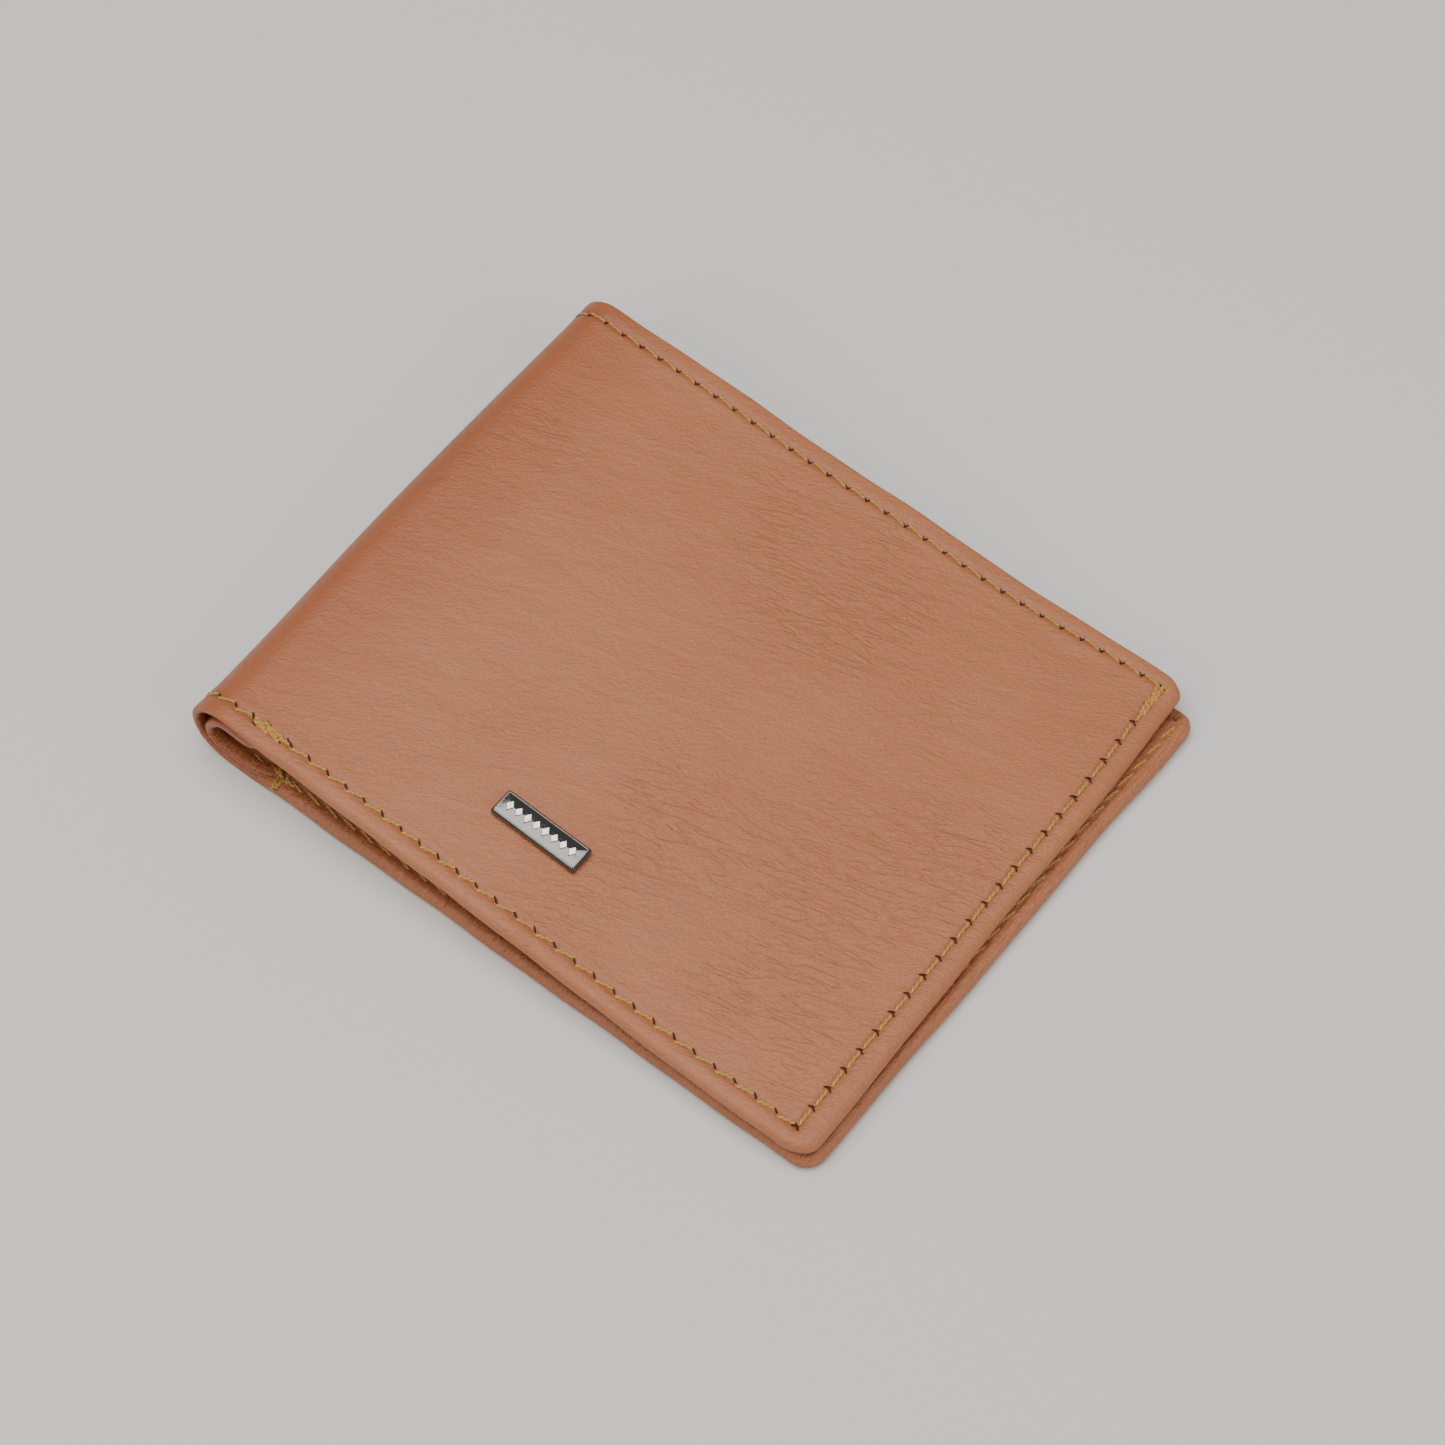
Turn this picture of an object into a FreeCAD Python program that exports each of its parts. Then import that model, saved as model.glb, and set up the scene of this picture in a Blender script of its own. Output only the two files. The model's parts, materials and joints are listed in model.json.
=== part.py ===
"""Bifold wallet, closed, as a parametric FreeCAD document in millimetres.

Frame: +X runs from the spine to the opening edge, +Y from the wallet's bottom edge to its top edge
(where the note compartment opens), +Z up.  The origin is the middle of the footprint, on the surface
that the back cover lies on.

Each half is modelled flat in its own frame: local x runs from the fold to the opening edge, and the
outer face of the cover is at local z = 0, with every other layer behind it.  The back half's layers
go up (side = 1) and the front half's go down (side = -1).  The spine is an arc round one axis, cut
into strips that turn about lines on its outer surface, so the open wallet lies flat.
"""

import FreeCAD, Part
import Sketcher
import math
import os
import re

from FreeCAD import Placement, Rotation, Vector

BACK = 1
FRONT = -1
Y_AXIS = Vector(0, 1, 0)

SIZES = {
    # the folded wallet
    "wallet_height": 92.0,
    "back_length": 106.8,
    "front_length": 104.5,
    "spine_radius": 6.6,
    "fold_tilt": 4.3,
    "fold_hinges": 3,
    "hinge_gap": 0.1,
    "corner_radius": 3.5,
    "edge_bevel": 0.3,
    # thicknesses of the layers, from the outside in
    "leather": 0.8,
    "hem_lap": 0.35,
    "stiffener": 0.2,
    "lining": 0.1,
    "wall": 0.3,
    "backing": 0.1,
    "pocket": 0.32,
    # the turned hem and the note compartment's inner wall
    "hem_width": 7.0,
    "layer_inset": 0.4,
    "spine_wall_depth": 1.3,
    "spine_wall": 0.5,
    # card pockets, which open towards the top edge
    "pocket_start": 5.0,
    "pocket_mouth": 17.5,
    "pocket_step": 10.7,
    "pocket_reach": 50.0,
    "pocket_foot": 6.0,
    # stitching
    "seam_margin": 3.2,
    "groove_width": 0.8,
    "groove_depth": 0.35,
    "inner_groove": 0.2,
    "stitch_pitch": 3.5,
    "stitch_length": 2.6,
    "spine_stitch": 2.2,
    "thread_width": 0.5,
    "thread_height": 0.25,
    "inner_thread": 0.15,
    "tack_start": 3.5,
    "tack_length": 6.7,
    # metal nameplate on the front cover
    "plate_centre_x": 47.0,
    "plate_centre_y": -30.8,
    "plate_length": 15.0,
    "plate_width": 4.2,
    "plate_height": 1.1,
    "plate_bevel": 0.3,
    "lozenge_length": 1.4,
    "lozenge_width": 1.9,
    "lozenge_height": 0.15,
    "lozenge_count": 8,
    "lozenge_row": 11.2,
    "prong_length": 1.2,
    "prong_width": 0.4,
    "prong_spacing": 9.0,
    "retainer_length": 12.0,
    "retainer_width": 3.0,
    "retainer_clearance": 0.3,
}

POCKETS = 3
SPINE_STRIPS = ("spine_lower", "spine_upper")

doc = FreeCAD.newDocument("bifold_wallet")
sheet = doc.addObject("Spreadsheet::Sheet", "Sizes")
nodes = []


def fill_sheet():
    for row, (alias, size) in enumerate(SIZES.items(), start=1):
        sheet.set(f"A{row}", alias)
        sheet.set(f"B{row}", str(size))
        sheet.setAlias(f"B{row}", alias)
    doc.recompute()


def size(alias):
    return float(sheet.get(alias))


def in_sheet(expression):
    """Points the sheet's aliases in an expression at the sheet."""
    return re.sub(r"[a-z_]+", lambda word: "Sizes." + word.group() if word.group() in SIZES
                  else word.group(), expression)


def bind(target, **sizes):
    for name, expression in sizes.items():
        target.setExpression(name, in_sheet(expression))


def signed(side, expression):
    return f"({expression})" if side == BACK else f"-({expression})"


# ---- where things are -------------------------------------------------------------------------

def fold_angle():
    """Angle that the spine turns through, from the back cover's plane to the front cover's."""
    return 180.0 + size("fold_tilt")


def strip_angle():
    return fold_angle() / size("fold_hinges")


def arc_axis_x():
    """Where the spine's axis stands, so that the footprint is centred on the origin."""
    return size("spine_radius") - (size("back_length") + size("spine_radius")) / 2


def half_placement(side):
    """From a half's own flat frame to the wallet's frame."""
    if side == BACK:
        return Placement(Vector(arc_axis_x(), 0, 0), Rotation())
    tilt = math.radians(size("fold_tilt"))
    radius = size("spine_radius")
    fold_line = Vector(arc_axis_x() + radius * math.sin(tilt), 0, radius * (1 + math.cos(tilt)))
    return Placement(fold_line, Rotation(Y_AXIS, size("fold_tilt")))


def spine_placement(angle):
    """Turns a strip, drawn at the back cover's fold line, round the spine's axis."""
    turn = Rotation(Y_AXIS, angle)
    return Placement(Vector(arc_axis_x(), 0, 0), turn, Vector(0, 0, size("spine_radius")))


# ---- building blocks --------------------------------------------------------------------------

def new_body(label):
    body = doc.addObject("PartDesign::Body", label)
    body.Label = label
    nodes.append(body)
    return body


def origin_item(body, role):
    return next(item for item in body.Origin.OriginFeatures if item.Role == role)


def outline(body, name, role, offset, corners, axis=None):
    """A closed outline in a sketch, each corner placed by two expressions."""
    sketch = body.newObject("Sketcher::SketchObject", name)
    sketch.AttachmentSupport = [(origin_item(body, role), "")]
    sketch.MapMode = "FlatFace"
    bind(sketch, **{"AttachmentOffset.Base.z": offset})
    if axis:
        line = sketch.addGeometry(Part.LineSegment(Vector(0, 1, 0), Vector(1, 1, 0)), True)
        place_point(sketch, line, 1, "0", axis)
        place_point(sketch, line, 2, "10", axis)
    first = sketch.GeometryCount
    spots = [tuple(evaluated(part) for part in corner) for corner in corners]
    for here, there in zip(spots, spots[1:] + spots[:1]):
        sketch.addGeometry(Part.LineSegment(Vector(*here, 0), Vector(*there, 0)), False)
    for index, corner in enumerate(corners):
        line = first + index
        before = first + (index - 1) % len(corners)
        sketch.addConstraint(Sketcher.Constraint("Coincident", before, 2, line, 1))
        place_point(sketch, line, 1, *corner)
    return sketch


def evaluated(expression):
    """The number that an expression of the sheet's aliases stands for."""
    return float(sheet.evalExpression(in_sheet(expression).replace("Sizes.", "")))


def place_point(sketch, line, end, along, across):
    for kind, expression in (("DistanceX", along), ("DistanceY", across)):
        number = sketch.addConstraint(
            Sketcher.Constraint(kind, -1, 1, line, end, evaluated(expression)))
        sketch.setExpression(f"Constraints[{number}]", in_sheet(expression))


def pad(body, sketch, thickness, side):
    feature = body.newObject("PartDesign::Pad", sketch.Name + "_pad")
    feature.Profile = sketch
    feature.Reversed = side == FRONT
    bind(feature, Length=thickness)
    doc.recompute()
    return feature


def cut(body, sketch, depth, upwards):
    """A pocket that has to take something away."""
    before = body.Shape.Volume
    feature = body.newObject("PartDesign::Pocket", sketch.Name + "_pocket")
    feature.Profile = sketch
    feature.Reversed = upwards
    bind(feature, Length=depth)
    doc.recompute()
    if body.Shape.Volume >= before:
        raise RuntimeError(f"{feature.Name} cuts nothing")
    return feature


def sweep_spine(body, sketch, side, angle):
    """Carries a cross-section round the spine's axis, away from the opening edge."""
    feature = body.newObject("PartDesign::Revolution", sketch.Name + "_sweep")
    feature.Profile = sketch
    feature.ReferenceAxis = (sketch, ["Axis0"])
    feature.Reversed = side == FRONT
    bind(feature, Angle=angle)
    doc.recompute()
    return feature


def dress(body, kind, size_name, size_expression, wanted):
    """A fillet or chamfer on the edges that pass a test."""
    base = body.Tip
    names = [f"Edge{number}" for number, edge in enumerate(base.Shape.Edges, start=1) if wanted(edge)]
    feature = body.newObject(kind, base.Name + "_dressed")
    feature.Base = (base, names)
    bind(feature, **{size_name: size_expression})
    doc.recompute()
    return feature


def rectangle(x_low, x_high, y_low, y_high):
    return [(x_low, y_low), (x_high, y_low), (x_high, y_high), (x_low, y_high)]


def round_corners(body, x, y=None):
    """Rounds the upright edges at the opening edge, or only the one at a given height."""
    def wanted(edge):
        box = edge.BoundBox
        upright = box.ZLength > 0.01 and box.XMin > x - 1e-4 and box.YLength < 1e-4
        return upright and (y is None or abs(box.YMin - y) < 1e-4)
    dress(body, "PartDesign::Fillet", "Radius", "corner_radius", wanted)


def is_outer_rim(edge):
    """On the outer face's outline, apart from the side at the fold."""
    box = edge.BoundBox
    return abs(box.ZMin) < 1e-4 and abs(box.ZMax) < 1e-4 and box.XMax > 1e-4


# ---- sizes that several pieces share ----------------------------------------------------------

HALF_HEIGHT = "(wallet_height / 2)"
HEM_Y = "(wallet_height / 2 - hem_width)"
LAYER_Y = "(wallet_height / 2 - layer_inset)"
GROOVE_FAR_Y = "(wallet_height / 2 - seam_margin + groove_width / 2)"
GROOVE_NEAR_Y = "(wallet_height / 2 - seam_margin - groove_width / 2)"
WALL_DEPTH = "(leather + hem_lap)"
BACKING_DEPTH = "(leather + hem_lap + wall)"
POCKET_DEPTH = "(leather + hem_lap + wall + backing)"
GAP_ANGLE = "(hinge_gap / spine_radius * 180 / pi)"
STRIP_ANGLE = "((180 + fold_tilt) / fold_hinges)"


def half_names(side):
    return ("back", "back_length") if side == BACK else ("front", "front_length")


def mouth_y(number):
    """Height of a card pocket's mouth; the first pocket is the one nearest the top edge."""
    return f"(wallet_height / 2 - pocket_mouth - pocket_step * {number - 1})"


def inner_depth(number):
    """Depth of a card pocket's inner face; pocket 0 stands for the bare inner wall."""
    return f"({POCKET_DEPTH} + pocket * {number})" if number else BACKING_DEPTH


def groove_columns(length):
    """The two long sides of the groove beside the opening edge."""
    return (f"({length} - seam_margin - groove_width / 2)",
            f"({length} - seam_margin + groove_width / 2)")


# ---- covers and spine leather -----------------------------------------------------------------

def leather_section(side):
    """The cover leather's cross-section: turned hems along both edges and a groove in each."""
    half = [(HEM_Y, "leather"), (HEM_Y, WALL_DEPTH), (HALF_HEIGHT, WALL_DEPTH),
            (HALF_HEIGHT, "edge_bevel"), (f"({HALF_HEIGHT} - edge_bevel)", "0"),
            (GROOVE_FAR_Y, "0"), (GROOVE_FAR_Y, "groove_depth"),
            (GROOVE_NEAR_Y, "groove_depth"), (GROOVE_NEAR_Y, "0")]
    top = [(along, signed(side, depth)) for along, depth in half]
    bottom = [(f"-{along}", depth) for along, depth in reversed(top)]
    return top + bottom


def cover_groove(length):
    """Outline of the groove round three sides: bottom edge, opening edge and top edge."""
    near_x, far_x = groove_columns(length)
    lower = [("0", f"-{GROOVE_FAR_Y}"), (far_x, f"-{GROOVE_FAR_Y}"), (far_x, GROOVE_FAR_Y),
             ("0", GROOVE_FAR_Y)]
    upper = [("0", GROOVE_NEAR_Y), (near_x, GROOVE_NEAR_Y), (near_x, f"-{GROOVE_NEAR_Y}"),
             ("0", f"-{GROOVE_NEAR_Y}")]
    return lower + upper


def cover(side):
    """Outer leather of one half, with its turned hem and its share of the spine."""
    name, length = half_names(side)
    body = new_body(f"{name}_cover")
    sketch = outline(body, f"{name}_cover_outline", "XY_Plane", "0",
                     rectangle("0", length, f"-{HALF_HEIGHT}", HALF_HEIGHT))
    pad(body, sketch, WALL_DEPTH, side)
    round_corners(body, size(length))
    dress(body, "PartDesign::Chamfer", "Size", "edge_bevel", is_outer_rim)
    recess = outline(body, f"{name}_cover_recess", "XY_Plane", signed(side, WALL_DEPTH),
                     rectangle("0", f"({length} - hem_width)", f"-{HEM_Y}", HEM_Y))
    cut(body, recess, "hem_lap", upwards=side == FRONT)
    groove = outline(body, f"{name}_cover_groove", "XY_Plane", "0", cover_groove(length))
    cut(body, groove, "groove_depth", upwards=side == BACK)
    if side == FRONT:
        cut_prong_slots(body, "0", WALL_DEPTH)
    section = outline(body, f"{name}_cover_section", "YZ_Plane", "0", leather_section(side),
                      axis=signed(side, "spine_radius"))
    sweep_spine(body, section, side, f"({STRIP_ANGLE} - {GAP_ANGLE}) / 2")
    body.Placement = half_placement(side)


def spine_strip(label, number, section):
    """One rigid strip of a layer of the spine, between two hinge lines."""
    body = new_body(label)
    sketch = outline(body, f"{label}_section", "YZ_Plane", "0", section, axis="spine_radius")
    sweep_spine(body, sketch, BACK, f"({STRIP_ANGLE} - {GAP_ANGLE})")
    half_gap = math.degrees(size("hinge_gap") / size("spine_radius")) / 2
    body.Placement = spine_placement(strip_angle() * (number - 0.5) + half_gap)


def spine_layers(place, number):
    spine_strip(f"{place}_leather", number, leather_section(BACK))
    spine_strip(f"{place}_lining", number,
                rectangle(f"-{HEM_Y}", HEM_Y, "leather", "(leather + lining)"))
    spine_strip(f"{place}_inner_wall", number,
                rectangle(f"-{LAYER_Y}", LAYER_Y, "spine_wall_depth",
                          "(spine_wall_depth + spine_wall)"))


# ---- layers inside each half ------------------------------------------------------------------

def flat_sheet(label, side, corners, depth, thickness):
    body = new_body(label)
    sketch = outline(body, f"{label}_outline", "XY_Plane", signed(side, depth), corners)
    pad(body, sketch, thickness, side)
    body.Placement = half_placement(side)
    return body


def stiffener(side):
    """Board behind the cover leather; the front one has a window for the nameplate's retainer."""
    name, length = half_names(side)
    body = flat_sheet(f"{name}_stiffener", side,
                      rectangle("0", f"({length} - hem_width)", f"-{HEM_Y}", HEM_Y),
                      "leather", "stiffener")
    if side == FRONT:
        half_x = "(retainer_length / 2 + retainer_clearance)"
        half_y = "(retainer_width / 2 + retainer_clearance)"
        window = outline(body, "retainer_window", "XY_Plane", signed(side, "leather"),
                         plate_rectangle(half_x, half_y))
        cut(body, window, "stiffener", upwards=False)


def cover_lining(side):
    name, length = half_names(side)
    flat_sheet(f"{name}_cover_lining", side,
               rectangle("0", f"({length} - hem_width)", f"-{HEM_Y}", HEM_Y),
               "(leather + stiffener)", "lining")


def inner_wall(side):
    """The note compartment's inner wall, with its share of the spine."""
    name, length = half_names(side)
    edge = f"({length} - layer_inset)"
    body = flat_sheet(f"{name}_inner_wall", side, rectangle("0", edge, f"-{LAYER_Y}", LAYER_Y),
                      WALL_DEPTH, "wall")
    round_corners(body, evaluated(edge))
    near_x, far_x = groove_columns(length)
    groove = outline(body, f"{name}_wall_groove", "XY_Plane", signed(side, BACKING_DEPTH),
                     rectangle(near_x, far_x, mouth_y(1), GROOVE_FAR_Y))
    cut(body, groove, "inner_groove", upwards=side == FRONT)
    section = rectangle(f"-{LAYER_Y}", LAYER_Y, signed(side, "spine_wall_depth"),
                        signed(side, "spine_wall_depth + spine_wall"))
    sketch = outline(body, f"{name}_wall_section", "YZ_Plane", "0", section,
                     axis=signed(side, "spine_radius"))
    sweep_spine(body, sketch, side, f"({STRIP_ANGLE} - {GAP_ANGLE}) / 2")
    body.Placement = half_placement(side)


def pocket_backing(side):
    """Thin fabric between the inner wall and the card pockets."""
    name, length = half_names(side)
    flat_sheet(f"{name}_pocket_backing", side,
               rectangle("pocket_start", f"({length} - layer_inset)",
                         f"-({LAYER_Y} - pocket_foot)", mouth_y(1)),
               BACKING_DEPTH, "backing")


def card_pocket(side, number):
    """A leather panel; the last one stands on a folded foot along the bottom edge."""
    name, length = half_names(side)
    label = f"{name}_card_pocket_{number}"
    last = number == POCKETS
    mouth = mouth_y(number)
    low = f"-{LAYER_Y}" if last else f"({mouth} - pocket_reach)"
    edge = f"({length} - layer_inset)"
    body = flat_sheet(label, side, rectangle("pocket_start", edge, low, mouth),
                      inner_depth(number - 1) if number > 1 else POCKET_DEPTH, "pocket")
    near_x, far_x = groove_columns(length)
    groove_corners = rectangle(near_x, far_x, low, mouth)
    if last:
        foot = outline(body, f"{label}_foot", "XY_Plane", signed(side, BACKING_DEPTH),
                       rectangle("pocket_start", edge, low, f"({low} + pocket_foot)"))
        pad(body, foot, f"(backing + pocket * {number - 1})", side)
        round_corners(body, evaluated(edge), evaluated(low))
        groove_corners = [("pocket_start", f"-{GROOVE_FAR_Y}"), (far_x, f"-{GROOVE_FAR_Y}"),
                          (far_x, mouth), (near_x, mouth), (near_x, f"-{GROOVE_NEAR_Y}"),
                          ("pocket_start", f"-{GROOVE_NEAR_Y}")]
    groove = outline(body, f"{label}_groove", "XY_Plane", signed(side, inner_depth(number)),
                     groove_corners)
    cut(body, groove, "inner_groove", upwards=side == FRONT)


# ---- thread -----------------------------------------------------------------------------------

def spread(start, end):
    """Middles of evenly spaced stitches between two points, and their spacing."""
    count = max(1, round((end - start) / size("stitch_pitch")))
    step = (end - start) / count
    return [start + step * (index + 0.5) for index in range(count)]


def strand(side, along, middle, length, depth, width, height):
    """One straight run of thread, lying at a depth behind the outer face."""
    span = Vector(length, width, height) if along == "x" else Vector(width, length, height)
    low_z = depth if side == BACK else -depth - height
    corner = Vector(middle[0], middle[1], 0) - Vector(span.x, span.y, 0) / 2
    return Part.makeBox(span.x, span.y, span.z, corner + Vector(0, 0, low_z))


def outer_strand(side, along, middle, length, width=None):
    depth = size("groove_depth") - size("thread_height")
    return strand(side, along, middle, length, depth, width or size("thread_width"),
                  size("thread_height"))


def inner_strand(side, along, middle, length, width=None):
    """Thread on the inner face of whichever layer lies innermost at that height."""
    uncovered = sum(middle[1] < evaluated(mouth_y(number)) for number in range(1, POCKETS + 1))
    depth = evaluated(inner_depth(uncovered)) - size("inner_groove")
    return strand(side, along, middle, length, depth, width or size("thread_width"),
                  size("inner_thread"))


def thread_node(label, strands, placement):
    node = doc.addObject("Part::Feature", label)
    node.Label = label
    node.Shape = Part.makeCompound(strands)
    node.Placement = placement
    nodes.append(node)


def seam_corner(side):
    """Where the seams along the bottom edge and the opening edge meet."""
    return Vector(size(half_names(side)[1]) - size("seam_margin"),
                  size("seam_margin") - size("wallet_height") / 2, 0)


def seam_thread(side):
    """Assembly seam: along the bottom edge and up the opening edge, through every layer."""
    corner = seam_corner(side)
    length = size("stitch_length")
    strands = []
    for x in spread(size("tack_start") + size("tack_length"), corner.x):
        strands.append(outer_strand(side, "x", (x, corner.y), length))
        strands.append(inner_strand(side, "x", (x, corner.y), length))
    for y in spread(corner.y, -corner.y)[:-1]:
        strands.append(outer_strand(side, "y", (corner.x, y), length))
        strands.append(inner_strand(side, "y", (corner.x, y), length))
    thread_node(f"{half_names(side)[0]}_seam_thread", strands, half_placement(side))


def tack_thread(side):
    """Back-stitching at both ends of the assembly seam: three strands side by side."""
    corner = seam_corner(side)
    width = size("groove_width") / 3
    first = size("tack_start")
    last = first + size("tack_length")
    inner_first = max(first, size("pocket_start") + width)
    column_y = spread(corner.y, -corner.y)[-1]
    strands = []
    for shift in (-width, 0, width):
        beside = width * 0.9
        y = corner.y + shift
        strands.append(outer_strand(side, "x", ((first + last) / 2, y), last - first, beside))
        strands.append(inner_strand(side, "x", ((inner_first + last) / 2, y),
                                    last - inner_first, beside))
        x = corner.x + shift
        strands.append(outer_strand(side, "y", (x, column_y), size("stitch_length"), beside))
        strands.append(inner_strand(side, "y", (x, column_y), size("stitch_length"), beside))
    thread_node(f"{half_names(side)[0]}_tack_thread", strands, half_placement(side))


def bent_strand(side, angle, y):
    """A hem stitch on the spine's outer face, at an angle round the axis from the fold line."""
    stitch = outer_strand(side, "x", (0, y), size("spine_stitch"))
    stitch.rotate(Vector(0, 0, side * size("spine_radius")), Y_AXIS, side * angle)
    return stitch


def hem_thread(side):
    """Hem of the cover: all along the top edge, and from the fold to the tack at the bottom."""
    corner = seam_corner(side)
    strands = [bent_strand(side, strip_angle() / 4, y) for y in (corner.y, -corner.y)]
    strands += [outer_strand(side, "x", (x, -corner.y), size("stitch_length"))
                for x in spread(0, corner.x)]
    strands += [outer_strand(side, "x", (x, corner.y), size("stitch_length"))
                for x in spread(0, size("tack_start"))]
    thread_node(f"{half_names(side)[0]}_hem_thread", strands, half_placement(side))


def spine_thread(place, number):
    """Two hem stitches at each end of a strip."""
    corner = seam_corner(BACK)
    strands = [bent_strand(BACK, strip_angle() * part, y)
               for part in (0.25, 0.75) for y in (corner.y, -corner.y)]
    thread_node(f"{place}_hem_thread", strands, spine_placement(strip_angle() * (number - 0.5)))


# ---- nameplate --------------------------------------------------------------------------------

def plate_rectangle(half_x, half_y, offset="0"):
    centre_x = f"(plate_centre_x + {offset})"
    return rectangle(f"({centre_x} - {half_x})", f"({centre_x} + {half_x})",
                     f"(plate_centre_y - {half_y})", f"(plate_centre_y + {half_y})")


def prong_outlines():
    for offset in ("-prong_spacing / 2", "prong_spacing / 2"):
        yield plate_rectangle("prong_length / 2", "prong_width / 2", offset)


def cut_prong_slots(body, level, depth):
    for number, corners in enumerate(prong_outlines(), start=1):
        slot = outline(body, f"{body.Label}_prong_slot_{number}", "XY_Plane", level, corners)
        cut(body, slot, depth, upwards=False)


def nameplate():
    """Cast plate with a bevelled rim and two prongs that go through the cover leather."""
    body = new_body("nameplate")
    face = outline(body, "nameplate_outline", "XY_Plane", "0",
                   plate_rectangle("plate_length / 2", "plate_width / 2"))
    pad(body, face, "plate_height", BACK)
    top = size("plate_height")
    dress(body, "PartDesign::Chamfer", "Size", "plate_bevel",
          lambda edge: abs(edge.BoundBox.ZMin - top) < 1e-4)
    for number, corners in enumerate(prong_outlines(), start=1):
        prong = outline(body, f"prong_{number}", "XY_Plane", "0", corners)
        pad(body, prong, "(leather + stiffener)", FRONT)
    body.Placement = half_placement(FRONT)


def nameplate_retainer():
    """Slotted backing plate that the prongs are pushed through behind the leather."""
    body = flat_sheet("nameplate_retainer", FRONT,
                      plate_rectangle("retainer_length / 2", "retainer_width / 2"),
                      "leather", "stiffener")
    cut_prong_slots(body, "-leather", "stiffener")


def nameplate_relief():
    """A row of plain raised lozenges along the plate."""
    body = new_body("nameplate_relief")
    body.AllowCompound = True
    first_x = "(plate_centre_x - lozenge_row / 2)"
    corners = [(f"({first_x} - lozenge_length / 2)", "plate_centre_y"),
               (first_x, "(plate_centre_y - lozenge_width / 2)"),
               (f"({first_x} + lozenge_length / 2)", "plate_centre_y"),
               (first_x, "(plate_centre_y + lozenge_width / 2)")]
    lozenge = outline(body, "lozenge", "XY_Plane", "plate_height", corners)
    first = pad(body, lozenge, "lozenge_height", BACK)
    row = body.newObject("PartDesign::LinearPattern", "lozenge_row")
    row.Originals = [first]
    row.Direction = (origin_item(body, "X_Axis"), [""])
    bind(row, Length="lozenge_row", Occurrences="lozenge_count")
    body.Tip = row
    doc.recompute()
    body.Placement = half_placement(FRONT)


# ---- the whole wallet -------------------------------------------------------------------------

def half(side):
    cover(side)
    stiffener(side)
    cover_lining(side)
    inner_wall(side)
    pocket_backing(side)
    for number in range(1, POCKETS + 1):
        card_pocket(side, number)
    seam_thread(side)
    tack_thread(side)
    hem_thread(side)


def check_document():
    doc.recompute()
    for item in doc.Objects:
        if "Invalid" in item.State or "Error" in item.State:
            raise RuntimeError(f"{item.Label} failed: {item.State}")
    for node in nodes:
        if node.Shape.isNull() or not node.Shape.isValid() or not node.Shape.Solids:
            raise RuntimeError(f"{node.Label} has no valid shape")


def export_nodes():
    os.makedirs("parts", exist_ok=True)
    for node in nodes:
        node.Shape.exportStep(f"parts/{node.Label}.step")


fill_sheet()
half(BACK)
for strip, strip_place in enumerate(SPINE_STRIPS, start=1):
    spine_layers(strip_place, strip)
    spine_thread(strip_place, strip)
half(FRONT)
nameplate()
nameplate_retainer()
nameplate_relief()
check_document()
export_nodes()
print(f"{len(nodes)} nodes written")
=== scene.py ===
"""A folded bifold wallet in tan leather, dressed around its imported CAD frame.

Sizes and colours are in the property groups, and each operator makes one group of pieces.
Shapes are worked out in millimetres on the leather laid flat: x runs from the spine's tangent
line to the opening edge of a half (below zero it goes round the spine), y runs along the fold,
and depth goes in from the outer face. placed() folds those points into the wallet.
"""

import json
import math

import bmesh
import bpy
import numpy as np
from bpy.props import FloatProperty, FloatVectorProperty, IntProperty, PointerProperty
from mathutils import Matrix, Vector


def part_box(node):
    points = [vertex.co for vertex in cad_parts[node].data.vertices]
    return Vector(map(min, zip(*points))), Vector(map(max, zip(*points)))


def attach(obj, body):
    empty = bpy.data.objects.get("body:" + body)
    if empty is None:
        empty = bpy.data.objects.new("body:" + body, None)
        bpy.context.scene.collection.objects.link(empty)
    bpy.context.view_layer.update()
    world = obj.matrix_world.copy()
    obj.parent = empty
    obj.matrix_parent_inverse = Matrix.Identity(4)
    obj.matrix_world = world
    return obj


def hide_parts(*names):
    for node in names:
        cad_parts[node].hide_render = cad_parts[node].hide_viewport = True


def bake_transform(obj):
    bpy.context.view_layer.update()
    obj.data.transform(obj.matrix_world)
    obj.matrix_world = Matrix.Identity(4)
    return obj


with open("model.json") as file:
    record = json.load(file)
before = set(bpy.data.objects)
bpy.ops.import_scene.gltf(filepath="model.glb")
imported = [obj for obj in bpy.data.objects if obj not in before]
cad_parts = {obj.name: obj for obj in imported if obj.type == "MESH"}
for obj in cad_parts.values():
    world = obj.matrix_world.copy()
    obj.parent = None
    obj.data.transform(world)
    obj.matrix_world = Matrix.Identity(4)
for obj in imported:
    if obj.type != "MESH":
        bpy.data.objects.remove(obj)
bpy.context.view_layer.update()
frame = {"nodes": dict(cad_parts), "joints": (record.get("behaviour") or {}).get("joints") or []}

bl_info = {
    "name": "Bifold wallet",
    "version": (1, 0, 0),
    "blender": (4, 5, 0),
    "location": "View3D > Sidebar > Wallet",
    "description": "Makes a leather bifold wallet with stitched seams and card pockets",
    "category": "Add Mesh",
}

HALF_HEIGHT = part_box("back_cover")[1].y * 1000
OPENING_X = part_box("back_cover")[1].x * 1000
JOINTS = len(frame["joints"])
HALVES = ("back", "front")
HALF_TURN = math.pi

# Millimetres
# Half width of the painted shade along the stitch grooves
GROOVE_SHADE_WIDTH = 0.75
LINING_INSET = 7.3
BOARD_INSET = 7.4
BACKING_INSET = 9.0
POCKET_INSET = 6.5
COVER_MIDDLE = 0.55

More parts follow.
